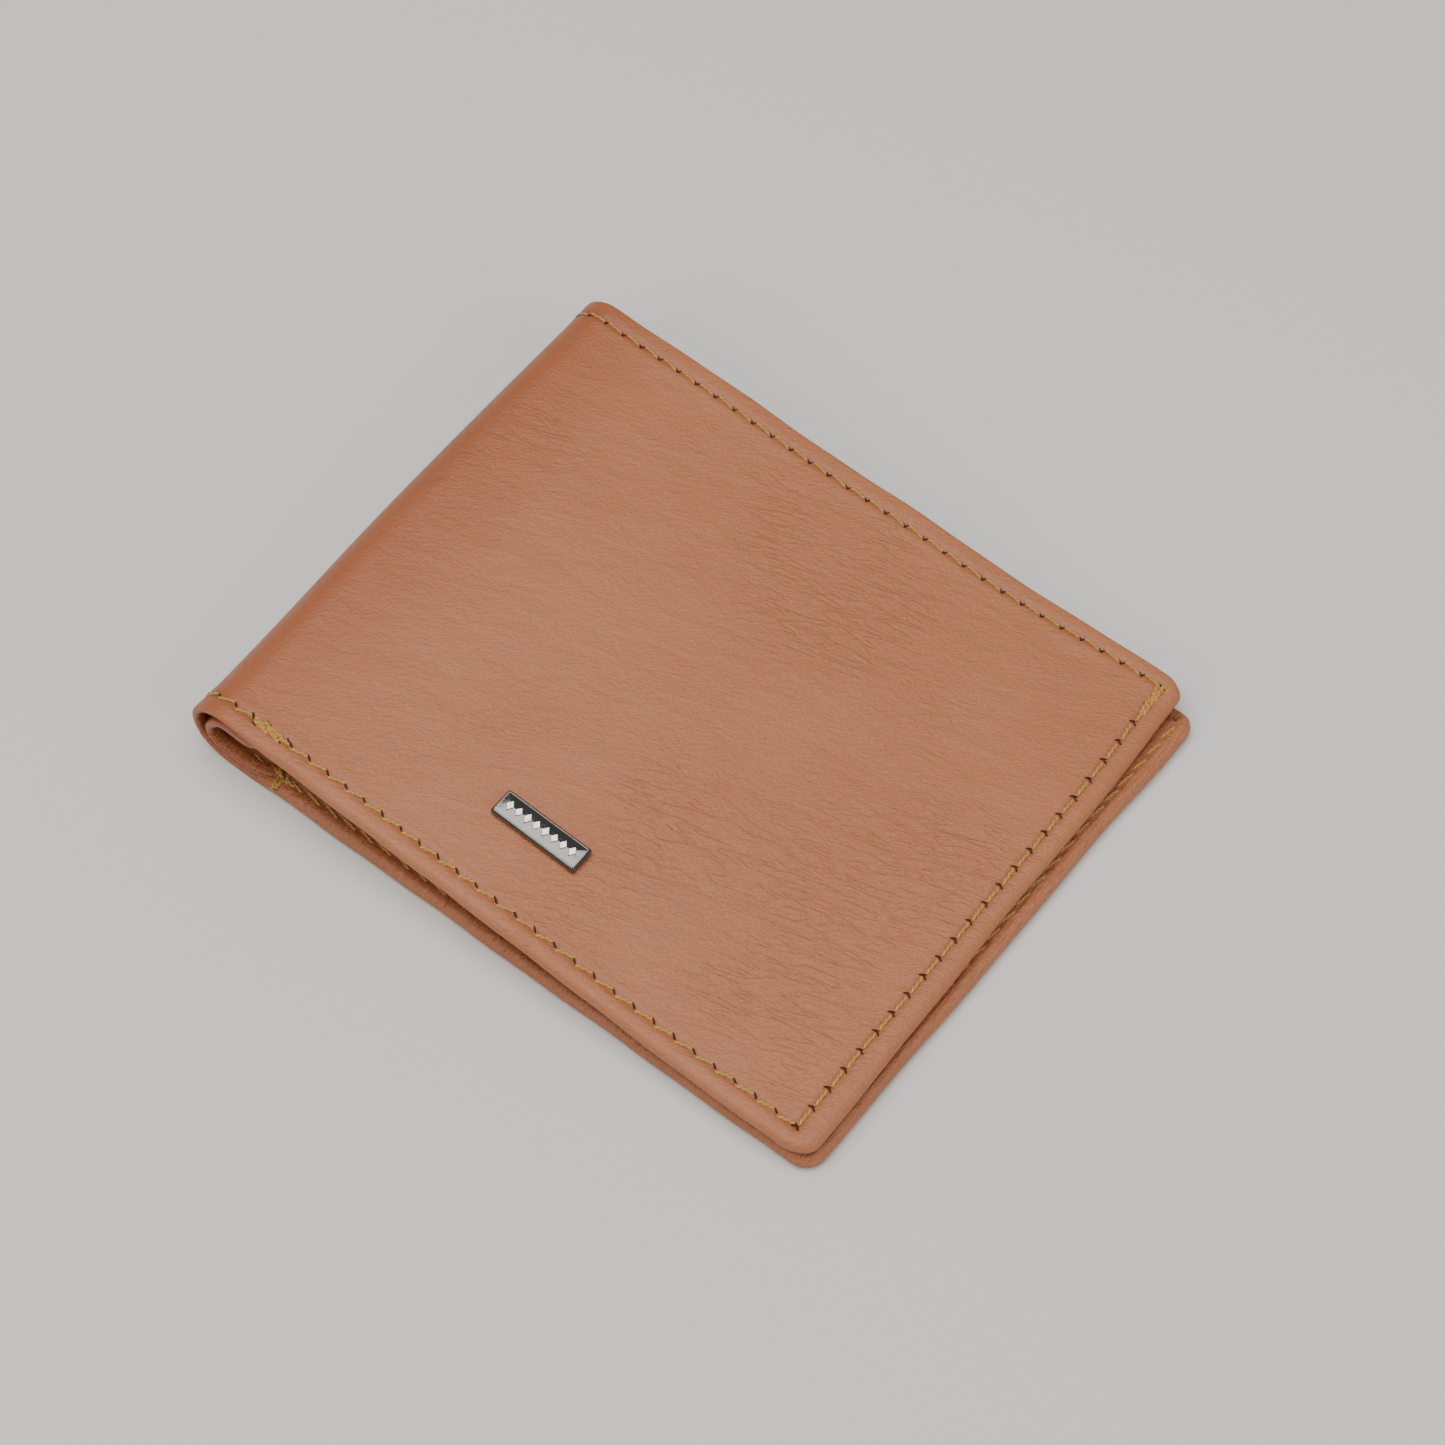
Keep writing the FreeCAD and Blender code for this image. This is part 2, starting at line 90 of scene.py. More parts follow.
# Place, target, width, depth, power and tint of each lamp
LAMPS = {
    "overhead": ((-0.10, -0.10, 0.90), (-0.10, -0.10, 0.0), 1.0, 0.86, 9.1, (1.0, 0.98, 0.96)),
    "side": ((0.65, 0.05, 0.38), (0, 0, 0), 0.5, 0.35, 1.3, (1.0, 0.97, 0.93)),
    "near": ((-0.20, -0.62, 0.42), (0, 0, 0), 0.5, 0.35, 1.1, (1.0, 0.97, 0.93)),
}
ROOM_TINT, ROOM_LIGHT = (1.0, 0.98, 0.95, 1), 0.24
CAMERA_TURNS = (39.518, 58.772, -1.430)
CAMERA_TARGET, CAMERA_DISTANCE, CAMERA_LENS = (0.00237, 0.00323, 0), 0.49416, 84.95
FLOOR_REACH = 8.0


# ---- sizes and colours ------------------------------------------------------------------------

def length(name, millimetres, description):
    return FloatProperty(name=name, description=description, default=millimetres / 1000,
                         unit="LENGTH", precision=5)


def angle(name, degrees, description):
    return FloatProperty(name=name, description=description, default=math.radians(degrees),
                         unit="ROTATION", subtype="ANGLE")


def colour(name, rgb, description):
    return FloatVectorProperty(name=name, description=description, default=(*rgb, 1.0),
                               size=4, min=0, max=1, subtype="COLOR")


class WalletBody(bpy.types.PropertyGroup):
    """The folded wallet and the layers of a half."""
    back_length: length("Back length", 106.8, "From the spine's tangent line to the edge")
    front_length: length("Front length", 104.5, "From the spine's tangent line to the edge")
    spine_radius: length("Spine radius", 6.6, "Outer radius of the fold")
    fold_tilt: angle("Fold tilt", 4.3, "How far the front half leans towards the back half")
    corner_radius: length("Corner radius", 3.5, "Radius of the free corners")
    leather: length("Leather", 0.8, "Thickness of the cover leather")
    rim_width: length("Rim width", 8.0, "Width of the rounded and stitched border")
    hem_width: length("Hem width", 7.0, "Leather turned in behind the edge")
    seam_rim: length("Seam rim", 2.45, "Thickness of the rolled edge where the half is sewn shut")
    hem_rim: length("Hem rim", 1.15, "Thickness of the cover's own turned edge")
    face_drop: length("Face drop", 0.14, "How far the middle of a cover lies below its rim")
    rise: length("Rise", 0.35, "Swell of the front cover beside the spine")
    hollow: length("Hollow", 0.9, "Sag of the front cover towards the opening edge")
    wall_depth: length("Wall depth", 1.3, "Depth of the note compartment's inner wall")
    wall_edge: length("Wall edge", 1.4, "Thickness of the inner wall's turned edge")
    wall: length("Wall", 0.36, "Thickness of the inner wall's leather")
    wall_inset: length("Wall inset", 0.2, "Step in from the cover's edge to the inner wall's")
    wall_slack: length("Wall slack", 1.5, "How far the inner wall stands off the spine")
    pinch: length("Pinch", 1.1, "How far the spine's bottom end is drawn in by its tack")
    flare: length("Flare", 0.6, "How far the spine's free top end swells out")
    draw: length("Draw", 0.8, "How far the top edge is drawn in beside the spine")
    corner_pull: length("Corner pull", 1.4, "How far the tack draws the top corner's seam out")


class WalletSeams(bpy.types.PropertyGroup):
    """The stitching."""
    margin: length("Margin", 3.2, "From the edge to the row of stitches")
    inner_margin: length("Inner margin", 2.5, "From the edge to the stitches inside")
    pitch: length("Pitch", 3.5, "From one needle hole to the next")
    groove: length("Groove", 0.42, "How deep the thread pulls the leather in")
    groove_width: length("Groove width", 0.5, "Half width of the pulled-in line")
    thread: length("Thread", 0.30, "Radius of the seam thread")
    hem_thread: length("Hem thread", 0.24, "Radius of the finer thread on the hems")
    tack_start: length("Tack start", 3.5, "Where the back-tack begins, from the spine")
    tack_length: length("Tack length", 6.7, "Length of the back-tack")
    slant: angle("Slant", 14.0, "Turn of a stitch against its row")
    twists: FloatProperty(name="Twists", description="Turns of the plies in one stitch", default=1.6)
    seed: IntProperty(name="Seed", description="Seed of the stitches' small differences", default=7)


class WalletPockets(bpy.types.PropertyGroup):
    """The card pockets on each inner face."""
    count: IntProperty(name="Count", description="Card pockets on each half", default=3)
    start: length("Start", 5.0, "From the spine to the pockets' side")
    mouth: length("First mouth", 17.5, "From the top edge to the first mouth")
    step: length("Step", 10.7, "From one mouth to the next")
    lift: length("Lift", 0.34, "How far a mouth stands over the panel behind it")


class WalletPlate(bpy.types.PropertyGroup):
    """The metal nameplate on the front cover."""
    centre_x: length("Centre from the spine", 47.0, "Along the front cover")
    centre_y: length("Centre across", -30.8, "Across the front cover")
    plate_length: length("Length", 15.0, "Along the wallet")
    plate_width: length("Width", 4.2, "Across the wallet")
    height: length("Height", 1.1, "Above the leather")
    corner: length("Corner", 0.32, "Radius of the plate's corners")
    bevel: length("Bevel", 0.34, "Width of the polished bevel")
    crown: length("Crown", 0.15, "Rise of the plate's middle line")
    lozenge_length: length("Lozenge length", 1.4, "Along the plate")
    lozenge_width: length("Lozenge width", 1.9, "Across the plate")
    lozenge_height: length("Lozenge height", 0.15, "Above the plate")
    lozenge_row: length("Lozenge row", 11.2, "Between the outermost lozenges")
    lozenges: IntProperty(name="Lozenges", description="Lozenges in the row", default=8)


class WalletColours(bpy.types.PropertyGroup):
    """Colours of the finishes."""
    leather: colour("Leather", (0.43, 0.150, 0.062), "Tan cover leather")
    # Painted shade: the darker tone mixed in round the spine and on the inside faces, and a little at
    # random as mottling
    leather_warm: colour("Warm leather", (0.34, 0.095, 0.032), "Stretched leather on the spine")
    # Painted shade: the darkest leather, mixed into wrinkle valleys, creases, stitch grooves and
    # pocket mouths
    leather_crease: colour("Crease", (0.17, 0.045, 0.018), "Creases and stitch lines")
    thread: colour("Thread", (0.60, 0.30, 0.055), "Golden brown thread")
    # Painted shade between the plies of the thread
    thread_shade: colour("Thread shade", (0.33, 0.15, 0.025), "Between the plies")
    # Painted shadow: colour of the dark slits that stand for the needle holes
    needle_hole: colour("Needle hole", (0.035, 0.013, 0.008), "Inside of the needle holes")
    plate: colour("Plate", (0.20, 0.19, 0.185), "Dark nickel")
    relief: colour("Relief", (0.93, 0.90, 0.84), "Bright nickel")
    lining: colour("Lining", (0.055, 0.032, 0.022), "Brown lining cloth")
    board: colour("Board", (0.36, 0.29, 0.21), "Stiffener board")
    floor: colour("Floor", (0.74, 0.73, 0.71), "Pale floor")


GROUPS = {"wallet_body": WalletBody, "wallet_seams": WalletSeams, "wallet_pockets": WalletPockets,
          "wallet_plate": WalletPlate, "wallet_colours": WalletColours}


def size(name):
    """One of the lengths in millimetres."""
    for group in GROUPS:
        settings = getattr(bpy.context.scene, group)
        if name in settings.bl_rna.properties:
            return getattr(settings, name) * 1000
    raise KeyError(name)


def shade(name):
    return tuple(getattr(bpy.context.scene.wallet_colours, name))


def body_settings():
    return bpy.context.scene.wallet_body


def seam_settings():
    return bpy.context.scene.wallet_seams


# ---- from flat leather to the folded wallet ---------------------------------------------------

def ramp(value, start, end):
    """0 before start, 1 after end, and smooth between."""
    share = np.clip((np.asarray(value, float) - start) / (end - start), 0, 1)
    return share * share * (3 - 2 * share)


def hump(value, start, end):
    """A smooth hill between start and end, 1 at its middle."""
    share = np.clip((np.asarray(value, float) - start) / (end - start), 0, 1)
    return np.sin(math.pi * share) ** 2


def half_length(half):
    return size(half + "_length")


def spine_x():
    return OPENING_X - size("back_length")


def fold_turn():
    """The angle that the spine goes through."""
    return HALF_TURN + body_settings().fold_tilt


def join_angle(number):
    """Where one piece of the spine's leather meets the next, as an angle round the spine."""
    return fold_turn() * number / JOINTS


def plate_distance(x, y):
    """How far a point of the front cover is from the nameplate's outline."""
    beyond_x = np.abs(x - size("centre_x")) - size("plate_length") / 2
    beyond_y = np.abs(y - size("centre_y")) - size("plate_width") / 2
    return np.hypot(np.maximum(beyond_x, 0), np.maximum(beyond_y, 0))


def sag(half, x, y):
    """How far the soft covers leave their flat planes, inwards."""
    edge = np.minimum(half_length(half) - x, HALF_HEIGHT - np.abs(y))
    inside = ramp(edge, 4, 16) * ramp(x, 2, 20)
    waves = (np.sin(x / 8.3 + 1.1 * np.sin(y / 15) + 0.6) * np.sin(y / 11.5 + 0.8 * np.sin(x / 19))
             + 0.6 * np.sin(x / 4.9 - y / 7.7))
    if half == "back":
        return 0.05 * (waves + 1.6) * inside
    far = half_length(half)
    rise = size("rise") * hump(x, 0, 38)
    hollow = size("hollow") * hump(x, 50, far) * (1 - 0.25 * hump(y, -HALF_HEIGHT, HALF_HEIGHT))
    dent = 0.10 * np.exp(-(plate_distance(x, y) / 1.3) ** 2)
    calm = 1 - np.exp(-(plate_distance(x, y) / 5) ** 2)
    return hollow - rise + dent + 0.085 * waves * inside * calm


def corner_pull(half, x, y):
    """How far the sewn corners are drawn out of square, along and across the wallet."""
    far, high = half_length(half), HALF_HEIGHT
    top = ramp(x, far - 38, far - 2) * ramp(y, high - 26, high - 3)
    low = 1 - ramp(y, -high, 8)
    if half == "back":
        return 0.6 * top - 0.5 * low * ramp(x, far - 30, far), -0.9 * top
    return (0.9 * low * ramp(x, far - 3, far) - 0.7 * top,
            top * size("corner_pull") * (1 - 0.6 * ramp(y, high - 3, high)))


def placed(half, x, y, depth):
    """Points of a half, or of the spine where x is below zero, folded into place."""
    x, y, depth = (np.array(v, float) for v in np.broadcast_arrays(x, y, depth))
    depth = depth + sag(half, x, y) * (x > 0)
    radius, tilt = size("spine_radius"), body_settings().fold_tilt
    turn = -x / radius if half == "back" else fold_turn() + x / radius
    reach = radius - depth
    points = np.stack([spine_x() - reach * np.sin(turn), y, radius - reach * np.cos(turn)], -1)
    lean = 0.0 if half == "back" else tilt
    side = 1 if half == "back" else -1
    flat = x >= 0
    along, inward = (math.cos(lean), -math.sin(lean)), (-math.sin(lean), side * math.cos(lean))
    start_x = spine_x() - radius * inward[0]
    start_z = radius - radius * inward[1]
    points[flat, 0] = (start_x + x * along[0] + depth * inward[0])[flat]
    points[flat, 2] = (start_z + x * along[1] + depth * inward[1])[flat]
    near = 1 - ramp(x, 4, 45)
    pinch = size("pinch") * (1 - ramp(y, -HALF_HEIGHT, 0))
    points[..., 0] += near * (pinch - size("flare") * ramp(y, -30, 25))
    upper = ramp(turn, 1.2, 2.4) if half == "back" else ramp(turn, 1.2, 2.4) * (1 - ramp(x, 35, 80))
    points[..., 1] -= size("draw") * ramp(y, 10, HALF_HEIGHT) * upper
    shift_x, shift_y = corner_pull(half, x, y)
    points[..., 0] += shift_x
    points[..., 1] += shift_y
    return points


def spine_place(turn, y, depth):
    """Points of the spine at an angle round it."""
    return placed("back", -np.asarray(turn) * size("spine_radius"), y, depth)


# ---- meshes -----------------------------------------------------------------------------------

def grid_faces(rows, columns, first=0):
    """Quads of a grid of vertices, numbered row by row."""
    corner = first + (np.arange(rows - 1)[:, None] * columns + np.arange(columns - 1)).ravel()
    return np.stack([corner, corner + 1, corner + columns + 1, corner + columns], -1)


def sleeve_faces(count, loops):
    """Quads between closed loops of vertices, count in each, numbered loop by loop."""
    corner = np.arange(count)
    ahead = np.roll(corner, -1)
    quad = np.stack([corner, ahead, ahead + count, corner + count], -1)
    return np.concatenate([quad + number * count for number in range(loops - 1)]).tolist()


def make_piece(name, points, faces, finish, attributes=None, sharp=60):
    """One closed mesh from points in millimetres, its doubles merged and its open ends capped."""
    mesh = bpy.data.meshes.new(name)
    mesh.from_pydata((np.asarray(points).reshape(-1, 3) / 1000).tolist(), [], faces)
    for label, values in (attributes or {}).items():
        layer = mesh.attributes.new(label, "FLOAT", "POINT")
        layer.data.foreach_set("value", np.asarray(values, np.float32).ravel())
    work = bmesh.new()
    work.from_mesh(mesh)
    bmesh.ops.remove_doubles(work, verts=work.verts, dist=2e-6)
    bmesh.ops.dissolve_degenerate(work, edges=work.edges, dist=1e-6)
    rims = [edge for edge in work.edges if edge.is_boundary]
    if rims:
        bmesh.ops.holes_fill(work, edges=rims, sides=0)
    bmesh.ops.recalc_face_normals(work, faces=work.faces)
    work.to_mesh(mesh)
    work.free()
    mesh.shade_smooth()
    mesh.set_sharp_from_angle(angle=math.radians(sharp))
    mesh.materials.append(finish)
    piece = bpy.data.objects.new(name, mesh)
    bpy.context.scene.collection.objects.link(piece)
    return piece


def stations(first, last, hole, pitch):
    """Places from first to last that lie closer together at each needle hole."""
    numbers = np.arange(math.floor((first - hole) / pitch) - 1, math.ceil((last - hole) / pitch) + 2)
    steps = np.array([-0.11, 0, 0.11, 0.37, 0.63]) * pitch
    places = (hole + numbers[:, None] * pitch + steps).ravel()
    places = places[(places > first + 0.2) & (places < last - 0.2)]
    return np.concatenate([[first, first + 0.02], places, [last]])


def hole_phase(place, hole, pitch):
    """1 at a needle hole, falling to 0 between the holes."""
    away = np.abs((np.asarray(place) - hole + pitch / 2) % pitch - pitch / 2)
    return np.exp(-(away / (0.16 * pitch)) ** 2)


def side_pitch():
    """Stitch pitch along the opening edge, so that both corners hold a needle hole."""
    span = 2 * (HALF_HEIGHT - size("margin"))
    return span / round(span / size("pitch"))


class Rim:
    """Stations round the three free edges of a half, from the spine along the bottom edge,
    up the opening edge and back along the top edge."""

    def __init__(self, half, start):
        self.length = half_length(half)
        self.width = size("rim_width")
        self.corner = size("corner_radius")
        self.hole_x = self.length - size("margin")
        self.hole_y = HALF_HEIGHT - size("margin")
        self.columns = stations(start, self.length - self.width, self.hole_x, size("pitch"))
        inner = HALF_HEIGHT - self.width
        self.rows = stations(-inner, inner, self.hole_y, side_pitch())
        self.turns = np.radians(np.arange(-80, 1, 10))
        self.steps = np.array([0.4, 0.75, 1.0])
        self.lower_count = len(self.columns) + len(self.turns) + 2 * len(self.steps) - 1
        self.count = 2 * self.lower_count + len(self.rows)

    def lower(self, inset):
        """The bottom edge and its corner, at an inset for each station."""
        radius = np.maximum(self.corner - inset * self.corner / size("margin"), 0)
        centre_x = self.length - inset - radius
        centre_y = -HALF_HEIGHT + inset + radius
        n, k, a = len(self.columns), len(self.steps), len(self.turns)
        x, y = np.empty(self.lower_count), np.empty(self.lower_count)
        x[:n], y[:n] = self.columns, (-HALF_HEIGHT + inset)[:n]
        part = slice(n, n + k)
        inner_x = self.length - self.width
        x[part] = inner_x + (centre_x[part] - inner_x) * self.steps
        y[part] = (-HALF_HEIGHT + inset)[part]
        part = slice(n + k, n + k + a)
        x[part] = centre_x[part] + radius[part] * np.cos(self.turns)
        y[part] = centre_y[part] + radius[part] * np.sin(self.turns)
        part = slice(n + k + a, self.lower_count)
        x[part] = (self.length - inset)[part]
        low_y = -HALF_HEIGHT + self.width
        y[part] = centre_y[part] + (low_y - centre_y[part]) * self.steps[:-1]
        return x, y

    def ring(self, inset):
        """x and y of every station at an inset from the edge."""
        inset = np.broadcast_to(np.asarray(inset, float), (self.count,))
        low_x, low_y = self.lower(inset[:self.lower_count])
        high_x, high_y = self.lower(inset[::-1][:self.lower_count])
        side = self.length - inset[self.lower_count:-self.lower_count]
        return (np.concatenate([low_x, side, high_x[::-1]]),
                np.concatenate([low_y, self.rows, -high_y[::-1]]))

    def rim_depth(self):
        """Thickness of the rolled edge at every station."""
        x, y = self.ring(0)
        thin, thick = size("hem_rim"), size("seam_rim")
        tack_end = size("tack_start") + size("tack_length")
        sewn = np.where(y < 0, ramp(x, size("tack_start") - 1, tack_end),
                        1 - ramp(self.length - x, 0.8, 3.2))
        return thin + (thick - thin) * sewn

    def pulled(self):
        """1 at the stations with a needle hole."""
        x, y = self.ring(size("margin"))
        along = hole_phase(x, self.hole_x, size("pitch"))
        up = hole_phase(y, self.hole_y, side_pitch())
        return np.where(np.abs(y) < self.hole_y - 0.01, up, along)


def rim_wobble(x, y):
    """Small unevenness of a hand-turned edge."""
    return 0.05 * (2 + np.sin(x / 5.1 + y / 3.7) + np.sin(x / 2.3 - y / 6.1 + 1))


def outer_face(inset, pulled):
    """Depth of a cover's outer face near its edge."""
    across = (inset - size("margin")) / size("groove_width")
    pull = size("groove") * (0.62 + 0.38 * pulled) * np.exp(-across ** 2)
    return size("face_drop") * ramp(inset, size("margin"), 5.8) + pull


def cover_section(rim, pulled, x, y):
    """Rings over a cover's border: inset and depth, from the outer face round the rolled
    edge to the end of the turned hem."""
    pulled, rings = np.asarray(pulled, float), []
    for inset in (8, 6.6, 5.6, 4.8, 4.2, 3.85, 3.5, 3.2, 2.9, 2.55, 2.15, 1.75):
        rings.append((inset + 0 * rim, outer_face(inset, pulled)))
    reach = 0.55 * rim
    start = outer_face(reach, pulled)
    for turn in np.radians(np.arange(0, 181, 15)):
        wobble = rim_wobble(x, y) * math.sin(turn)
        rings.append((reach * (1 - math.sin(turn)) + wobble,
                      start + (rim - start) * (1 - math.cos(turn)) / 2))
    for inset in (1.6, 1.85, 2.1, 2.3, 2.5, 2.7, 2.95, 3.3, 4.0, 5.2, 6.3, 6.8):
        across = (inset - size("inner_margin")) / size("groove_width")
        pull = 0.55 * size("groove") * (0.5 + 0.5 * pulled) * np.exp(-across ** 2)
        rings.append((inset + 0 * rim, rim - pull))
    hem = size("hem_width")
    rings += [(hem - 0.04 + 0 * rim, rim - 0.06), (hem + 0.04 + 0 * rim, rim - 0.2),
              (hem + 0.06 + 0 * rim, size("leather") + 0 * rim),
              (size("rim_width") + 0 * rim, size("leather") + 0 * rim)]
    return rings


def spine_wall_depth(turn):
    """Depth of the inner wall's hidden side, which stands off the spine's upper part."""
    return size("wall_depth") + size("wall_slack") * ramp(np.degrees(turn), 45, 125)


def wall_front(half, x):
    """Depth of the inner wall's hidden side on a half or round the spine."""
    if half == "back":
        return spine_wall_depth(-x / size("spine_radius"))
    wall = spine_wall_depth(fold_turn() + np.minimum(x, 0) / size("spine_radius"))
    return wall - size("wall_slack") * ramp(x, 1, 13)


def wall_section(base, x, y):
    """Rings over the inner wall's turned edge, from its hidden side round to its face. The edge
    is free round the spine and along the top, and under the hem where the half is sewn."""
    sewn = np.maximum(ramp(x, size("tack_start"), size("tack_start") + size("tack_length"))
                      * (y < 0), ramp(x, OPENING_X + 36, OPENING_X + 42))
    edge = size("wall_edge") * (1 - 0.45 * sewn)
    inset = size("wall_inset") + 2.2 * sewn + 0.7 * (y > 0) * ramp(x, 5, 20)
    level, rings = 0 * base, []
    for far in (8, 6.5, 5.5):
        rings.append((far + level, base))
    for turn in np.radians(np.arange(0, 181, 20)):
        wobble = 1.4 * rim_wobble(x, y) * math.sin(turn)
        rings.append((inset + 0.5 * edge * (1 - math.sin(turn)) + wobble,
                      base + edge * (1 - math.cos(turn)) / 2))
    for far, share in ((1.1, 1), (1.6, 0.94), (2.0, 0.78), (2.4, 0.80), (2.9, 0.95), (3.2, 1),
                       (3.5, 0.9)):
        rings.append((np.minimum(inset + 0.4 + far, 7.4 - 0.1 * (3.5 - far)), base + edge * share))
    wall = size("wall")
    rings += [(np.minimum(inset + 4.1, 7.6), base + wall), (7.8 + level, base + wall),
              (8 + level, base + wall)]
    return rings


def half_shell(name, half, start, section, finish, outer_depth, inner_depth):
    """A half's leather from a join in the spine to the opening edge."""
    rim = Rim(half, start)
    edge_x, edge_y = rim.ring(0)
    points, marks, faces = [], [], []
    grid_x, grid_y = np.meshgrid(rim.columns, rim.rows, indexing="ij")
    for depth, inside in ((outer_depth, 0), (inner_depth, 1)):
        first = sum(len(p) for p in points)
        points.append(placed(half, grid_x, grid_y, depth(grid_x)).reshape(-1, 3))
        marks.append(np.full((grid_x.size, 3), (0.0, inside, 0.0)))
        faces += grid_faces(*grid_x.shape, first).tolist()
    first = sum(len(p) for p in points)
    rings = section(rim, edge_x, edge_y)
    for number, (inset, depth) in enumerate(rings):
        x, y = rim.ring(inset)
        points.append(placed(half, x, y, depth))
        share = number / (len(rings) - 1)
        margin = size("margin" if share < 0.5 else "inner_margin")
        # Painted shade along the stitch groove, darkest at the row of stitches
        near = np.exp(-((inset - margin) / GROOVE_SHADE_WIDTH) ** 2)
        # The second column marks the inside faces, which the leather darkens with painted shade
        marks.append(np.stack([near, np.full(len(x), share > 0.78),
                               (share > 0.45) * (1 - ramp(inset, 4, 7))], -1))
    faces += grid_faces(len(rings), rim.count, first).tolist()
    marks = np.concatenate(marks)
    return make_piece(name, np.concatenate(points), faces, finish,
                      {"seam": marks[:, 0], "inside": marks[:, 1], "pleat": marks[:, 2]})


def band_shell(name, turns, loop, finish):
    """A strip of the spine: the closed loop(turn) of y and depth, swept round the spine."""
    points, seam, inside = [], [], []
    for turn in turns:
        y, depth, side = loop(turn)
        points.append(spine_place(turn, y, depth))
        # Painted shade along the stitch groove
        seam.append(np.exp(-((HALF_HEIGHT - np.abs(y) - size("margin")) / GROOVE_SHADE_WIDTH) ** 2))
        inside.append(side)
    faces = sleeve_faces(len(points[0]), len(turns))
    return make_piece(name, np.concatenate(points), faces, finish,
                      {"seam": np.concatenate(seam), "inside": np.concatenate(inside),
                       "pleat": np.concatenate(inside)})


def band_loop(rings, rows, outer, inner):
    """A spine strip's cross-section from the rings over its two edges and its two faces."""
    inset = np.array([float(ring[0]) for ring in rings])
    depth = np.array([float(ring[1]) for ring in rings])
    side = (np.arange(len(rings)) / (len(rings) - 1) > 0.5).astype(float)
    middle = rows[2:-1]
    y = np.concatenate([-HALF_HEIGHT + inset[::-1], middle, HALF_HEIGHT - inset, middle[::-1]])
    flat = np.ones(len(middle))
    depths = np.concatenate([depth[::-1], flat * outer, depth, flat * inner])
    return y, depths, np.concatenate([side[::-1], 0 * flat, side, flat])


def join_stations(first, last):
    """Angles round a spine strip, with a thin step at each end."""
    nudge = 0.02 / size("spine_radius")
    return np.concatenate([[first, first + nudge], np.linspace(first, last, 14)[1:-1],
                           [last - nudge, last]])


def spine_point(turn, depth):
    """A point inside the spine's leather, in metres."""
    radius = size("spine_radius")
    reach = radius - depth
    return Vector((spine_x() - reach * math.sin(turn), 0, radius - reach * math.cos(turn))) / 1000


BENDS = {"back": ("back", "spine_lower", 0), "middle": ("spine_lower", "spine_upper", 1),
         "front": ("spine_upper", "front", 2)}
PART_NAMES = {"back": "back", "middle": "spine", "front": "front"}


def bend(piece, place, depths=(COVER_MIDDLE, COVER_MIDDLE)):
    """Bakes a piece's transform into its mesh. Both ends of its part of the fold, at its layer's
    depth there, and a shift are worked out but not used: the piece does not turn at its fold."""
    first, second, number = BENDS[place]
    start = spine_point(join_angle(number), depths[0])
    end = spine_point(join_angle(number + 1), depths[1])
    shift = Vector((size("pinch") - size("flare"), 0, 0)) / 2000
    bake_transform(piece)


def wall_depths(place):
    """Mid depth of the inner wall at the two ends of its fold."""
    number = BENDS[place][2]
    return [float(spine_wall_depth(join_angle(end))) + size("wall") for end in (number, number + 1)]


def own_start():
    """Where a half's own leather starts, round the spine from the tangent line."""
    return -join_angle(1) * size("spine_radius")


# ---- materials --------------------------------------------------------------------------------

def put(tree, kind, inputs=None, **settings):
    """Adds a node, with its settings and its inputs, each a value or a socket."""
    node = tree.nodes.new(kind)
    for key, value in settings.items():
        setattr(node, key, value)
    for key, value in (inputs or {}).items():
        if isinstance(value, bpy.types.NodeSocket):
            tree.links.new(value, node.inputs[key])
        else:
            node.inputs[key].default_value = value
    return node


def maths(tree, operation, *values):
    return put(tree, "ShaderNodeMath", dict(enumerate(values)), operation=operation).outputs[0]


def mixed(tree, share, first, second):
    """A colour between two."""
    node = put(tree, "ShaderNodeMix", {0: share, 6: first, 7: second}, data_type="RGBA")
    return node.outputs[2]


def noise(tree, place, scale, detail=2.0, roughness=0.5, distortion=0.0):
    return put(tree, "ShaderNodeTexNoise", {"Vector": place, "Scale": scale, "Detail": detail,
               "Roughness": roughness, "Distortion": distortion}).outputs["Fac"]


def stretched(tree, place, spans, turn=0.0):
    """Coordinates for a pattern whose features have these spans in millimetres, first turned
    about the upright axis."""
    node = put(tree, "ShaderNodeMapping", {"Vector": place, "Rotation": (0, 0, turn),
               "Scale": spans}, vector_type="TEXTURE")
    return node.outputs[0]


def between(tree, value, low, high, first=0.0, last=1.0):
    """Value mapped smoothly from low..high to first..last."""
    node = put(tree, "ShaderNodeMapRange", {"Value": value, "From Min": low, "From Max": high,
               "To Min": first, "To Max": last}, interpolation_type="SMOOTHSTEP")
    return node.outputs[0]


def node_group(name, inputs, outputs, kind="ShaderNodeTree"):
    """A new group with its sockets, as (tree, its input node, its output node)."""
    tree = bpy.data.node_groups.new(name, kind)
    for direction, sockets in (("INPUT", inputs), ("OUTPUT", outputs)):
        for label, socket_type in sockets:
            tree.interface.new_socket(name=label, in_out=direction,
                                      socket_type="NodeSocket" + socket_type)
    return tree, tree.nodes.new("NodeGroupInput"), tree.nodes.new("NodeGroupOutput")


